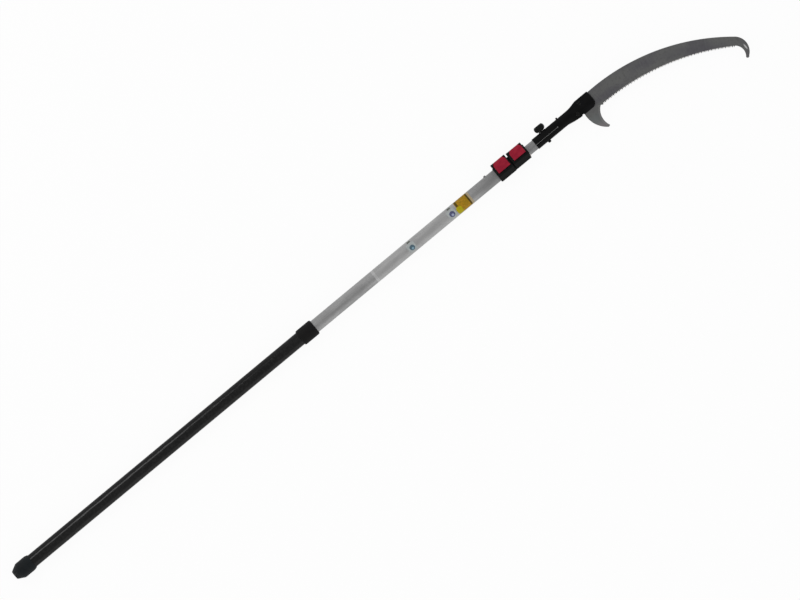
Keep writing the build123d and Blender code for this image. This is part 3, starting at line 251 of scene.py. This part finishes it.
# %% Rubber of the grip
grip = new_finish("shrunk_rubber", Specular_IOR_Level=0.02, Coat_Weight=0.45, Coat_Roughness=0.15)
skin = grain(grip, 0.7 * MM, detail=2.0)
waves = grain(grip, (0.035, 0.014, 0.014), detail=2.0)
dull = levels(grip, grain(grip, (0.12, 0.03, 0.03)), 0.35, 0.7)
smears = levels(grip, grain(grip, 7 * MM, detail=3.0), 0.42, 0.66)
tone = mix(grip, dull, (0.0008, 0.0008, 0.0009), (0.0026, 0.0026, 0.0026))
feed(grip, Base_Color=mix(grip, smears, tone, (0.0074, 0.0074, 0.0073)))
feed(grip, Roughness=levels(grip, dull, 0.0, 1.0, 0.36, 0.52))
uneven = relief(grip, skin, 0.05 * MM, relief(grip, waves, 0.7 * MM))
feed(grip, Normal=uneven, Coat_Normal=uneven)
dress(grip, "grip_sleeve")

# %% [markdown]
# The collar and the butt cap are moulded from softer, duller rubber. The cap's nose has the grey
# scuffs of standing on the ground. Noise alone would scuff it all over, so it is multiplied by a
# slope along the pole that fades out a centimetre and a half from the end.

# %% Moulded rubber
SCUFFED_TO = 16 * MM
UNSCUFFED = 1 * MM  # a station that the collar doesn't reach


def moulded_rubber(name, dark, light, scuffed_to):
    """Dull rubber. Below the station scuffed_to, in metres along the pole, it is scuffed grey."""
    finish = new_finish(name, Specular_IOR_Level=0.13, Sheen_Weight=0.02, Sheen_Roughness=0.6)
    speck = grain(finish, 0.5 * MM)
    patch = levels(finish, grain(finish, 0.012), 0.35, 0.7)
    tone = mix(finish, patch, dark, light)
    near_end = levels(finish, coordinate(finish, place(finish), "X"), scuffed_to, 0.0)
    scuffs = grain(finish, (1.2 * MM, 5 * MM, 5 * MM), detail=5.0)
    scuffs = levels(finish, scuffs, 0.52, 0.66)
    tone = mix(finish, times(finish, near_end, scuffs), tone, (0.09, 0.088, 0.082))
    feed(finish, Base_Color=tone, Roughness=levels(finish, patch, 0.0, 1.0, 0.55, 0.7))
    feed(finish, Normal=relief(finish, speck, 0.06 * MM))
    return finish


cap_rubber = moulded_rubber(
    "cap_rubber", (0.0060, 0.0078, 0.0092), (0.0095, 0.0125, 0.0145), SCUFFED_TO
)
collar_rubber = moulded_rubber(
    "collar_rubber", (0.0040, 0.0036, 0.0036), (0.0070, 0.0066, 0.0064), UNSCUFFED
)
dress(cap_rubber, "butt_cap")
dress(collar_rubber, "grip_collar")

# %% [markdown]
# ## Plastics
#
# The latch and the knob are black nylon with glass fibre: a fine even grain from the mould, and a
# paler line where edges have been rubbed. The levers are the same kind of plastic dyed red, with a
# smoother face, because the mould is polished where a thumb presses. One recipe serves both, and
# only the tones, the gloss and the depth of the grain differ.

# %% Moulded plastics
def moulded_plastic(name, dark, light, rubbed, rough, depth):
    """Plastic from dark to light, with the mould's grain of that depth and paler rubbed edges."""
    finish = new_finish(name, Specular_IOR_Level=0.10)
    mould = grain(finish, 0.35 * MM, detail=2.0)
    flow = levels(finish, grain(finish, (0.02, 0.012, 0.012)), 0.35, 0.7)
    tone = mix(finish, flow, dark, light)
    edge = edges(finish, 0.5 * MM)
    worn = times(finish, edge, levels(finish, grain(finish, 3 * MM), 0.35, 0.65, 0.1, 0.7))
    feed(finish, Base_Color=mix(finish, worn, tone, rubbed))
    feed(finish, Roughness=levels(finish, flow, 0.0, 1.0, rough, rough + 0.12))
    feed(finish, Normal=relief(finish, mould, depth))
    return finish


black = moulded_plastic(
    "black_nylon", (0.0030, 0.0036, 0.0034), (0.0060, 0.0066, 0.0064), (0.075, 0.075, 0.073),
    rough=0.42, depth=0.12 * MM,
)
red = moulded_plastic(
    "red_nylon", (0.29, 0.010, 0.030), (0.36, 0.017, 0.038), (0.48, 0.07, 0.09),
    rough=0.32, depth=0.02 * MM,
)
dress(black, "latch_body", "brake_shoe", "clamp_knob")
dress(red, "lock_button", "cam_lever")

# %% [markdown]
# The guides inside are nylon too, but undyed, and so slightly see-through. The same recipe serves,
# and the shader scatters a little light under the skin, which a paler colour alone wouldn't show.

# %% Undyed nylon
nylon = moulded_plastic(
    "white_nylon", (0.62, 0.60, 0.55), (0.72, 0.71, 0.67), (0.78, 0.78, 0.76),
    rough=0.40, depth=0.02 * MM,
)
shader = nylon.node_tree.nodes["Principled BSDF"]
shader.inputs["Subsurface Weight"].default_value = 0.25
shader.inputs["Subsurface Scale"].default_value = 1.5 * MM
dress(nylon, "guide_bush", "rear_guide")

# %% [markdown]
# ## Small metal parts
#
# Pins and axles are turned, so they carry fine rings round their own length. A grain that is long
# in two directions and short in the third gives such rings, so each finish only has to say which
# way its parts point. The wire of the button's spring is drawn and bright, and at its size the same
# recipe is enough.

# %% Turned steel and brass
LONG, SHORT = 20 * MM, 0.2 * MM
UPRIGHT, LENGTHWISE, CROSSWISE = (LONG, LONG, SHORT), (SHORT, LONG, LONG), (LONG, SHORT, LONG)


def turned_metal(name, dark, light, size, rough):
    """Metal with turned rings of the given grain size, stained from light to dark."""
    finish = new_finish(name, Metallic=1.0)
    rings = grain(finish, size, detail=2.0)
    stain = levels(finish, grain(finish, 4 * MM), 0.4, 0.7)
    feed(finish, Base_Color=mix(finish, stain, light, dark))
    feed(finish, Roughness=levels(finish, rings, 0.3, 0.7, rough, rough + 0.2))
    feed(finish, Normal=relief(finish, rings, 0.015 * MM))
    return finish


# The pins' steel is painted almost black: painted shade of the latch's dark pocket, where the lock
# pin sits under the red levers.
pin_painted_as_shade = turned_metal("turned_pin_painted_as_shade", (0.030, 0.030, 0.029), (0.050, 0.050, 0.050), UPRIGHT, 0.35)
axle = turned_metal("turned_axle", (0.36, 0.35, 0.34), (0.52, 0.52, 0.52), LENGTHWISE, 0.25)
spring_wire = turned_metal("spring_wire", (0.40, 0.40, 0.41), (0.55, 0.55, 0.56), UPRIGHT, 0.22)
brass = turned_metal("turned_brass", (0.16, 0.11, 0.045), (0.24, 0.17, 0.08), CROSSWISE, 0.28)
dress(pin_painted_as_shade, "lock_pin", "guide_pin")
dress(axle, "button_axle", "cam_axle")
dress(spring_wire, "button_spring")
dress(brass, "knob_insert")

# %% [markdown]
# Screws, bolts and nuts are blackened against rust. The coating is thin at the edges, where a
# spanner rubs it off, so noise is multiplied by the edges to let bare steel show through in spots.

# %% Blackened steel
oxide = new_finish("blackened_steel", Metallic=0.3, Specular_IOR_Level=0.15)
cloud = levels(oxide, grain(oxide, 3 * MM), 0.35, 0.7)
bare = times(oxide, edges(oxide, 0.35 * MM), levels(oxide, grain(oxide, 1.2 * MM), 0.35, 0.6))
tone = mix(oxide, cloud, (0.005, 0.005, 0.0055), (0.010, 0.0096, 0.009))
feed(oxide, Base_Color=mix(oxide, bare, tone, (0.11, 0.11, 0.11)))
feed(oxide, Roughness=levels(oxide, cloud, 0.0, 1.0, 0.34, 0.5))
feed(oxide, Normal=relief(oxide, grain(oxide, 0.3 * MM), 0.02 * MM))
dress(oxide, "latch_screws", "head_pin", "clamp_bolt", "knob_washer", "blade_bolts", "blade_nuts")

# %% [markdown]
# ## The head
#
# The head is cast and powder coated. Powder melts into a skin like orange peel: soft dimples one
# or two millimetres apart, over the broader waves of the casting, so one relief lies on another. It
# is satin, and it chips only at the sharpest edges, where a dark grey metal shows.

# %% Powder coat
coat = new_finish("powder_coat", Specular_IOR_Level=0.08)
dimples = grain(coat, 1.5 * MM, detail=1.0)
haze = levels(coat, grain(coat, (0.03, 0.015, 0.015)), 0.35, 0.7)
edge = edges(coat, 0.4 * MM)
chips = times(coat, edge, levels(coat, grain(coat, 2 * MM, detail=4.0), 0.55, 0.62))
tone = mix(coat, haze, (0.0022, 0.0022, 0.0024), (0.0048, 0.0048, 0.0052))
feed(coat, Base_Color=mix(coat, chips, tone, (0.14, 0.14, 0.145)))
feed(coat, Roughness=levels(coat, haze, 0.0, 1.0, 0.40, 0.55))
casting = relief(coat, grain(coat, 6 * MM), 0.12 * MM)
feed(coat, Normal=relief(coat, dimples, 0.05 * MM, casting))
dress(coat, "head_socket")

# %% [markdown]
# ## The blade
#
# The blade is hardened steel, ground on both sides. The wheel runs square to the teeth, so its
# marks fan out from the centre of the blade's curve. To follow that fan, a point's place is turned
# into an angle and a distance about the centre, and the grain is stretched along the distance.
# Hardening leaves broad faint clouds, which follow the same fan, and sap leaves small dark stains.

# %% Ground steel: the plate
CURVE_CENTRE = Vector((2.0126, -0.6966, 0.0))
CURVE_RADIUS = 0.66

steel = new_finish("ground_steel", Metallic=0.85)
from_centre = vector_math(steel, "SUBTRACT", place(steel), CURVE_CENTRE)
parts = node(steel, "ShaderNodeSeparateXYZ", {"Vector": from_centre}).node.outputs
angle = node(steel, "ShaderNodeMath", {0: parts["Y"], 1: parts["X"]}, operation="ARCTAN2")
arc = times(steel, angle, CURVE_RADIUS)
distance = vector_math(steel, "LENGTH", from_centre, output="Value")
fan = node(steel, "ShaderNodeCombineXYZ", {"X": arc, "Y": distance, "Z": parts["Z"]})

marks = grain(steel, (0.5 * MM, 60 * MM, 20 * MM), detail=3.0, at=fan)
temper = grain(steel, (90 * MM, 40 * MM, 20 * MM), detail=2.0, at=fan)
tone = mix(steel, levels(steel, temper, 0.35, 0.65), (0.112, 0.109, 0.121), (0.148, 0.149, 0.146))
tone = mix(steel, levels(steel, marks, 0.45, 0.75, 0.0, 0.55), tone, (0.190, 0.190, 0.193))
stains = levels(steel, grain(steel, 6 * MM, detail=3.0), 0.5, 0.72, 0.0, 0.45)
tone = mix(steel, stains, tone, (0.092, 0.091, 0.093))
print("grinding marks fan out from", tuple(round(c, 4) for c in CURVE_CENTRE))

# %% [markdown]
# The sickle under the heel cuts bark before the teeth do. It is ground by itself, so it is paler
# than the plate, and its point has a faint warm tint. A second material would leave a hard border
# and need faces of its own, so the sickle is found by where it lies: near the heel, and below the
# plate. Both limits are soft.

# %% Ground steel: the sickle
HEEL = (-0.02, -0.05)  # along X from the curve's centre, from off the sickle to on it
SICKLE, POINT = (-0.030, -0.055), (-0.058, -0.080)  # the same along Y, from the pole's axis

low = coordinate(steel, place(steel), "Y")
near_heel = levels(steel, parts["X"], *HEEL)
on_sickle = times(steel, levels(steel, low, *SICKLE), near_heel)
tone = mix(steel, on_sickle, tone, (0.172, 0.182, 0.180))
near_point = times(steel, levels(steel, low, *POINT), near_heel)
tone = mix(steel, near_point, tone, (0.250, 0.228, 0.236))
print("sickle below Y", SICKLE[0], "and its point below", POINT[0])

# %% [markdown]
# The hook at the tip pulls cut branches down. A narrow paler patch on it is a painted highlight.
# The patch is an ellipse: the way from its centre is divided by its half sizes, and the length of
# the result is 1 on the ellipse's border. The grinding marks break it up into streaks.

# %% Ground steel: the painted highlight on the hook
HIGHLIGHT_CENTRE = Vector((2.3945, -0.1585, 0.0))
HIGHLIGHT_SHARES = Vector((1 / 0.0026, 1 / 0.011, 0.0))  # one over its half sizes

offset = vector_math(steel, "SUBTRACT", place(steel), HIGHLIGHT_CENTRE)
offset = vector_math(steel, "MULTIPLY", offset, HIGHLIGHT_SHARES)
radius = vector_math(steel, "LENGTH", offset, output="Value")
highlight_streaks = levels(steel, marks, 0.35, 0.6, 0.55, 1.0)
# painted highlight: pale steel inside the ellipse, broken into streaks by the grinding marks
tone = mix(steel, times(steel, levels(steel, radius, 1.0, 0.35), highlight_streaks), tone, (0.72, 0.72, 0.72))
print("painted highlight at", tuple(round(c, 4) for c in HIGHLIGHT_CENTRE))

# %% [markdown]
# Teeth, sickle and hook are sharpened after hardening, so their slanted faces are brighter. There
# are too many to pick out by hand. They are told from the flat of the plate by their normal.

# %% Ground steel: the sharpened faces
FLAT, SLANTED = 0.995, 0.97  # how far the normal points along Z

facing = node(steel, "ShaderNodeTexCoord", {}, "Normal")
flatness = coordinate(steel, facing, "Z")
flatness = node(steel, "ShaderNodeMath", {0: flatness}, operation="ABSOLUTE")
sharpened = levels(steel, flatness, FLAT, SLANTED)
feed(steel, Base_Color=mix(steel, sharpened, tone, (0.78, 0.76, 0.74)))
feed(steel, Roughness=levels(steel, marks, 0.3, 0.7, 0.32, 0.46))
feed(steel, Normal=relief(steel, marks, 0.012 * MM))
dress(steel, "blade")

# %% [markdown]
# ## Making new pieces
#
# A few things are not among the solids, and are modelled here as by hand: select, change in edit
# mode, apply a modifier, settle. Every piece needs the same few steps, so each step is a helper.
# The last one smooths a piece, gives it its finish and sets it on the body that it moves with.

# %% Helpers: selecting and settling
def only(piece):
    """Makes one object the only selected and active one."""
    bpy.ops.object.select_all(action="DESELECT")
    piece.select_set(True)
    bpy.context.view_layer.objects.active = piece
    return piece


def select(piece, wanted):
    """Selects the faces that pass a test. Edit mode stays on."""
    bpy.ops.mesh.select_all(action="DESELECT")
    bpy.ops.object.mode_set(mode="OBJECT")
    for face in piece.data.polygons:
        face.select = wanted(face)
    bpy.ops.object.mode_set(mode="EDIT")


ALONG, ACROSS, UP = 0, 1, 2  # the axes X, Y and Z


def cut(piece, axis, station, keep):
    """Bisects the whole mesh across an axis. keep is "above", "below" or "both"."""
    point, square = Vector(), Vector()
    point[axis], square[axis] = station, 1.0
    bpy.ops.mesh.select_all(action="SELECT")
    bpy.ops.mesh.bisect(
        plane_co=point, plane_no=square, clear_inner=keep == "above", clear_outer=keep == "below"
    )


def modify(piece, kind, **settings):
    """Adds a modifier and applies it at once."""
    made = only(piece).modifiers.new(kind.title(), kind)
    for name, value in settings.items():
        setattr(made, name, value)
    bpy.ops.object.modifier_apply(modifier=made.name)


def finished(piece, finish, body):
    """Smooths a piece, applies its place, gives it its finish and sets it on its body."""
    only(piece)
    bpy.ops.object.transform_apply(location=True, rotation=True, scale=True)
    bpy.ops.object.shade_smooth_by_angle(angle=radians(30))
    piece.data.materials.clear()
    piece.data.materials.append(finish)
    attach(piece, body)
    print(piece.name, "faces:", len(piece.data.polygons), "on", body)


# %% [markdown]
# ## The film on the pole
#
# A silver film is wrapped round the pole below the latch, and lapped at the back. It is only as
# thick as paper, so it has to follow the tube exactly. A tube drawn from new would not match the
# facets of the solid, and the solid would poke through. So the film starts as a copy of the
# outer tube: its doubles are merged, it is cut off at both ends, the wall inside is deleted, and
# the rest is given a thickness outwards.

# %% Helper: the skin of the pole
def looks_inwards(face):
    """Whether a face of the tube looks towards the tube's axis."""
    return face.normal.dot(Vector((0, face.center.y, face.center.z))) < 0


def skin_of_pole(name, start, end, lift):
    """The outside of the outer tube between two stations, lifted off the tube."""
    skin = bpy.data.objects.new(name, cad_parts["outer_tube"].data.copy())
    bpy.context.scene.collection.objects.link(skin)
    only(skin)
    bpy.ops.mesh.customdata_custom_splitnormals_clear()
    bpy.ops.object.mode_set(mode="EDIT")
    bpy.ops.mesh.select_all(action="SELECT")
    bpy.ops.mesh.remove_doubles(threshold=0.001 * MM)
    cut(skin, ALONG, start, "above")
    cut(skin, ALONG, end, "below")
    select(skin, looks_inwards)
    bpy.ops.mesh.delete(type="FACE")
    bpy.ops.mesh.select_all(action="SELECT")
    bpy.ops.transform.shrink_fatten(value=lift)
    bpy.ops.object.mode_set(mode="OBJECT")
    return skin


# %% [markdown]
# The film is brushed metal under a thin clear layer, so it is greyer and softer than foil. A
# slightly paler strip seven millimetres wide at its lower edge is a painted highlight. A slope
# along the pole gives that strip, with no extra piece.

# %% The film
FILM_START, FILM_END = 1243 * MM, 1577 * MM
FILM_THICKNESS = 0.15 * MM
GAP = 0.02 * MM  # keeps a skin off what lies under it
HIGHLIGHT_STRIP = (FILM_START + 9 * MM, FILM_START + 6 * MM)  # from off the strip to on it

film = new_finish("silver_film", Metallic=0.55, Coat_Weight=0.4, Coat_Roughness=0.25)
brushed = grain(film, (0.03, 0.35 * MM, 0.35 * MM), detail=3.0)
cloud = levels(film, grain(film, (0.05, 0.02, 0.02)), 0.35, 0.7)
tone = mix(film, cloud, (0.350, 0.350, 0.350), (0.412, 0.412, 0.410))
along = coordinate(film, place(film), "X")
# painted highlight: a paler strip along the film's lower edge
tone = mix(film, levels(film, along, *HIGHLIGHT_STRIP), tone, (0.47, 0.47, 0.47))
tone = mix(film, levels(film, brushed, 0.4, 0.7, 0.0, 0.3), tone, (0.30, 0.30, 0.295))
feed(film, Base_Color=tone, Roughness=levels(film, brushed, 0.3, 0.7, 0.34, 0.48))
wrinkles = relief(film, grain(film, 0.012, 1.0), 0.08 * MM)
feed(film, Normal=relief(film, brushed, 0.01 * MM, wrinkles))

wrap = skin_of_pole("pole_film", FILM_START, FILM_END, GAP)
modify(wrap, "SOLIDIFY", thickness=FILM_THICKNESS, offset=1.0)
finished(wrap, film, "pole")

# %% [markdown]
# The film's two long edges meet at the back of the pole, where one lies on the other. The lap is
# the same skin of the tube, lifted by one more thickness and cut down to a narrow strip.

# %% The lap at the back
LAP_HALF = 5 * MM

lap = skin_of_pole("pole_film_lap", FILM_START, FILM_END, GAP + FILM_THICKNESS)
bpy.ops.object.mode_set(mode="EDIT")
cut(lap, ACROSS, -LAP_HALF, "above")
cut(lap, ACROSS, LAP_HALF, "below")
cut(lap, UP, 0.0, "below")
bpy.ops.object.mode_set(mode="OBJECT")
modify(lap, "SOLIDIFY", thickness=FILM_THICKNESS, offset=1.0)
finished(lap, film, "pole")

# %% [markdown]
# ## The spring under the lock button
#
# A coil spring under the lock button's outer edge lifts it again after a press. It is wound from
# one steel wire, and it is drawn the same way: a round section stands beside the axis, and the
# Screw modifier carries it round and up. The spring among the solids is rigid, so the pressed
# button would cut through it. This one takes its place, and does not shorten either. It is slimmer
# and sits further in, since the button's skirt swings inwards as its edge goes down.

# %% The spring
WIRE_RADIUS, COIL_RADIUS, INWARDS = 0.4 * MM, 2.1 * MM, 1.2 * MM
TURNS, STEPS = 4, 24

low, high = (Vector(corner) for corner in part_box("button_spring"))
foot = Vector(((low.x + high.x) / 2, (low.y + high.y) / 2 - INWARDS, low.z))
section = foot + Vector((0, 0, WIRE_RADIUS))
bpy.ops.object.select_all(action="DESELECT")
bpy.ops.mesh.primitive_circle_add(
    vertices=12, radius=WIRE_RADIUS, location=section, rotation=(pi / 2, 0, 0)
)
spring = bpy.context.active_object
spring.name = "return_spring"
bpy.ops.object.transform_apply(location=False, rotation=True, scale=False)
bpy.ops.object.mode_set(mode="EDIT")
bpy.ops.mesh.select_all(action="SELECT")
bpy.ops.transform.translate(value=(COIL_RADIUS, 0, 0))
bpy.ops.object.mode_set(mode="OBJECT")
pitch = (high.z - low.z - 2 * WIRE_RADIUS) / TURNS
modify(
    spring, "SCREW", axis="Z", angle=2 * pi, screw_offset=pitch, iterations=TURNS,
    steps=STEPS, render_steps=STEPS,
)
print("spring:", TURNS, "turns,", round(pitch / MM, 2), "mm apart")

# %% [markdown]
# The Screw leaves both ends of the wire open, and gives no promise on which way the faces look. So
# the ends are filled and the normals are turned outwards. Then the spring takes the solid one's
# place.

# %% The spring's ends
bpy.ops.object.mode_set(mode="EDIT")
bpy.ops.mesh.select_all(action="SELECT")
bpy.ops.mesh.fill_holes(sides=0)
bpy.ops.mesh.normals_make_consistent(inside=False)
bpy.ops.object.mode_set(mode="OBJECT")
finished(spring, spring_wire, "pole")
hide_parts("button_spring")
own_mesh(spring)

# %% [markdown]
# ## Labels
#
# The labels on the film carry words on the real saw. Here they stay bare: a yellow panel with two
# dark edges and a bright tab, a cream stripe beside it, and two pale pads, each with a small dark
# bar and a blue disc with a lighter core. Each is drawn flat above the pole, cut into slices along
# the pole so that it can curve, and pressed down on the film with a Shrinkwrap. Slices are needed
# across the curve only, because the pole is straight.

# %% Pressing a flat label on the pole
SLICE = 1 * MM
LABEL_THICKNESS = 0.1 * MM
ABOVE_POLE = 20 * MM


def press(label, finish, layer=0):
    """Slices a flat label, drops it on the film or on earlier layers, thickens and finishes it."""
    only(label)
    bpy.ops.object.transform_apply(location=True, rotation=True, scale=True)
    low = min(v.co.y for v in label.data.vertices)
    high = max(v.co.y for v in label.data.vertices)
    bpy.ops.object.mode_set(mode="EDIT")
    for number in range(1, int((high - low) / SLICE) + 1):
        cut(label, ACROSS, low + number * SLICE, "both")
    bpy.ops.object.mode_set(mode="OBJECT")
    modify(
        label, "SHRINKWRAP", target=wrap, wrap_method="PROJECT", use_project_z=True,
        use_negative_direction=True, use_positive_direction=False,
        offset=GAP + layer * (LABEL_THICKNESS + GAP),
    )
    modify(label, "SOLIDIFY", thickness=LABEL_THICKNESS, offset=1.0)
    finished(label, finish, "pole")


# %% [markdown]
# Two flat shapes make every label: a rectangle with round corners, and a disc. Their places and
# sizes are given in millimetres, as they would be measured on the pole.

# %% Helpers: flat shapes
def flat_plate(name, low, high, corner):
    """A rectangle above the pole, from its low to its high corner, with round corners."""
    low, high = [c * MM for c in low], [c * MM for c in high]
    middle = ((low[0] + high[0]) / 2, (low[1] + high[1]) / 2, ABOVE_POLE)
    bpy.ops.object.select_all(action="DESELECT")
    bpy.ops.mesh.primitive_plane_add(size=1.0, location=middle)
    plate = bpy.context.active_object
    plate.name = name
    plate.scale = (high[0] - low[0], high[1] - low[1], 1.0)
    bpy.ops.object.transform_apply(location=True, rotation=True, scale=True)
    bpy.ops.object.mode_set(mode="EDIT")
    bpy.ops.mesh.select_all(action="SELECT")
    bpy.ops.mesh.bevel(offset=corner * MM, offset_type="OFFSET", segments=4, affect="VERTICES")
    bpy.ops.object.mode_set(mode="OBJECT")
    return plate


def disc(name, x, y, radius):
    """A flat disc above the pole."""
    bpy.ops.object.select_all(action="DESELECT")
    bpy.ops.mesh.primitive_circle_add(
        vertices=40, radius=radius * MM, fill_type="NGON", location=(x * MM, y * MM, ABOVE_POLE)
    )
    made = bpy.context.active_object
    made.name = name
    return made


# %% [markdown]
# Print is ink on glossy paper, and it fades in patches. So one recipe serves every ink, and each
# label gives it a fresh and a faded tone.

# %% Helper: print
def printed(name, ink, worn_ink):
    """Glossy printed paper with slight fading."""
    finish = new_finish(name, Specular_IOR_Level=0.15, Coat_Weight=0.08, Coat_Roughness=0.3)
    faded = levels(finish, grain(finish, 6 * MM), 0.4, 0.75)
    feed(finish, Base_Color=mix(finish, faded, ink, worn_ink))
    feed(finish, Roughness=levels(finish, faded, 0.0, 1.0, 0.35, 0.50))
    feed(finish, Normal=relief(finish, grain(finish, 0.6 * MM), 0.01 * MM))
    return finish


# %% [markdown]
# The yellow panel is the largest label, near the film's upper end. Its two dark edges lie on it,
# one layer up. The bright tab has round corners and reaches past the panel's lower end. It lies
# one layer higher still, so that no two prints share a surface.

# %% The yellow panel and its tab
yellow = printed("yellow_print", (0.33, 0.192, 0.004), (0.50, 0.250, 0.008))
press(flat_plate("label_panel", (1528, -17), (1571, 17.4), 1.5), yellow)
brown = printed("brown_print", (0.075, 0.050, 0.001), (0.105, 0.072, 0.002))
press(flat_plate("label_edge_1", (1529.5, 3), (1535, 17), 1), brown, 1)
press(flat_plate("label_edge_2", (1566, -16), (1570.5, 16.5), 1), brown, 1)
bright = printed("bright_print", (0.42, 0.36, 0.001), (0.50, 0.40, 0.004))
press(flat_plate("label_tab", (1524, -17), (1541, 1.5), 5), bright, 2)

# %% [markdown]
# A cream stripe closes the film at its upper end. It lies beside the panel, on the film itself, so
# it needs no layer.

# %% The stripe
cream = printed("cream_print", (0.40, 0.32, 0.19), (0.47, 0.38, 0.24))
press(flat_plate("label_stripe", (1571.6, -16.4), (1576.6, 17.2), 0.6), cream)

# %% [markdown]
# The two round marks differ only in their ink, their place and, by a little, their size. So one
# loop makes them, and each of their parts is drawn anew, with a mesh of its own.

# %% Two marks: a pale pad, a small bar, a disc and its lighter core
PAD_BACK, PAD_AHEAD, BAR_HALF = 13, 12, 5
CORE_DOWN, CORE_SHARE = 2.5, 0.45

pad_print = printed("pale_print", (0.39, 0.42, 0.42), (0.45, 0.48, 0.47))
dark = printed("dark_print", (0.10, 0.11, 0.09), (0.15, 0.16, 0.14))
violet = printed("violet_print", (0.080, 0.088, 0.175), (0.110, 0.122, 0.23))
teal = printed("teal_print", (0.076, 0.128, 0.165), (0.105, 0.172, 0.216))
round_marks = (  # X, Y and radius of the disc, its ink, and the tone of its core
    (1509.5, -3.5, 8.0, violet, (0.33, 0.37, 0.52)),
    (1371.0, -4.0, 7.5, teal, (0.22, 0.36, 0.44)),
)
for number, (x, y, radius, ink, core_tone) in enumerate(round_marks, start=1):
    press(flat_plate(f"label_pad_{number}", (x - PAD_BACK, -14), (x + PAD_AHEAD, 10), 4), pad_print)
    press(flat_plate(f"label_bar_{number}", (x - BAR_HALF, 11.5), (x + BAR_HALF, 15.5), 0.8), dark)
    press(disc(f"label_disc_{number}", x, y, radius), ink, 1)
    core = printed(f"core_print_{number}", core_tone, [1.15 * c for c in core_tone])
    press(disc(f"label_core_{number}", x, y - CORE_DOWN, radius * CORE_SHARE), core, 2)

# %% [markdown]
# ## Floor, light and camera
#
# The saw lies on a pale sheet, which is wide enough to fill every view. Under a light that suits
# the saw the sheet would come out grey, and more light would bleach the saw. So for the rays that
# reach the eye, straight or by a mirror or glass, the sheet is mixed with plain white. The small
# rest stays real paper and keeps the saw's shadow.

# %% Floor
FOOT = cad_box[0][2]
MIDDLE, SHEET = 1.2, 40.0
LIFT = 0.94  # how far the sheet is lifted to white for the eye

bpy.ops.object.select_all(action="DESELECT")
bpy.ops.mesh.primitive_plane_add(size=SHEET, location=(MIDDLE, 0.0, FOOT))
floor = bpy.context.active_object
floor.name = "floor"
paper = new_finish("pale_paper", Specular_IOR_Level=0.2)
mottle = levels(paper, grain(paper, 0.4), 0.35, 0.7)
feed(paper, Base_Color=mix(paper, mottle, (0.93, 0.93, 0.93), (0.95, 0.95, 0.95)))
feed(paper, Roughness=levels(paper, mottle, 0.0, 1.0, 0.8, 0.9))
rays = node(paper, "ShaderNodeLightPath", {}).node.outputs
seen = rays["Is Camera Ray"]
for ray in ("Is Glossy Ray", "Is Transmission Ray"):
    seen = node(paper, "ShaderNodeMath", {0: seen, 1: rays[ray]}, operation="MAXIMUM")
white = node(paper, "ShaderNodeEmission", {"Color": (1.0, 1.0, 1.0, 1.0), "Strength": 1.0})
lit = paper.node_tree.nodes["Principled BSDF"].outputs[0]
both = node(paper, "ShaderNodeMixShader", {0: times(paper, seen, LIFT), 1: lit, 2: white})
paper.node_tree.links.new(both, paper.node_tree.nodes["Material Output"].inputs["Surface"])
floor.data.materials.append(paper)
print("floor at", round(FOOT, 4), "m")

# %% [markdown]
# Soft light comes from all round, a little stronger from the horizon than from above, so the long
# round parts are shaded from edge to edge. Two lamps add the highlights. The one on the tooth side
# is longer than the saw. The one on the back side is a metre long and hangs beside the butt end,
# so the band of light that it puts on the grip fades toward the collar.

# %% Light
HORIZON, OVERHEAD = 0.9, 0.62
world = bpy.data.worlds.new("soft_room")
bpy.context.scene.world = world
world.use_nodes = True
sky = coordinate(world, node(world, "ShaderNodeTexCoord", {}, "Generated"), "Z")
sky = levels(world, sky, 0.0, 1.0, HORIZON, OVERHEAD)
world.node_tree.links.new(sky, world.node_tree.nodes["Background"].inputs["Color"])


def lamp(name, place, power, size):
    """A rectangular lamp that faces the pole straight across from its own station."""
    light = bpy.data.lights.new(name, "AREA")
    light.shape = "RECTANGLE"
    light.size, light.size_y = size
    light.energy = power
    holder = bpy.data.objects.new(name, light)
    holder.location = place
    aim = Vector((place[0], 0.0, 0.0)) - Vector(place)
    holder.rotation_euler = aim.to_track_quat("-Z", "Y").to_euler()
    bpy.context.scene.collection.objects.link(holder)
    print(name, power, "W at", place)


lamp("back_side_lamp", place=(0.05, 2.15, 2.5), power=12.0, size=(1.0, 0.9))
lamp("tooth_side_lamp", place=(1.2, -3.6, 1.5), power=9.0, size=(4.5, 1.8))

# %% [markdown]
# The camera looks straight down with a very long lens, so the saw keeps its true proportions from
# end to end. It is turned so that the saw runs across the frame from corner to corner.

# %% Camera
VIEW_CENTRE, VIEW_WIDTH, VIEW_TURN = (1.2566, -0.0906), 2.128, -39.69
SENSOR, LENS = 36.0, 300.0

camera = bpy.data.objects.new("camera", bpy.data.cameras.new("camera"))
camera.data.sensor_width = SENSOR
camera.data.lens = LENS
camera.location = (*VIEW_CENTRE, VIEW_WIDTH * LENS / SENSOR)
camera.rotation_euler = (0.0, 0.0, radians(VIEW_TURN))
bpy.context.scene.collection.objects.link(camera)
bpy.context.scene.camera = camera
bpy.context.scene.view_settings.view_transform = "Standard"
print("camera", round(camera.location.z, 3), "m above the saw")
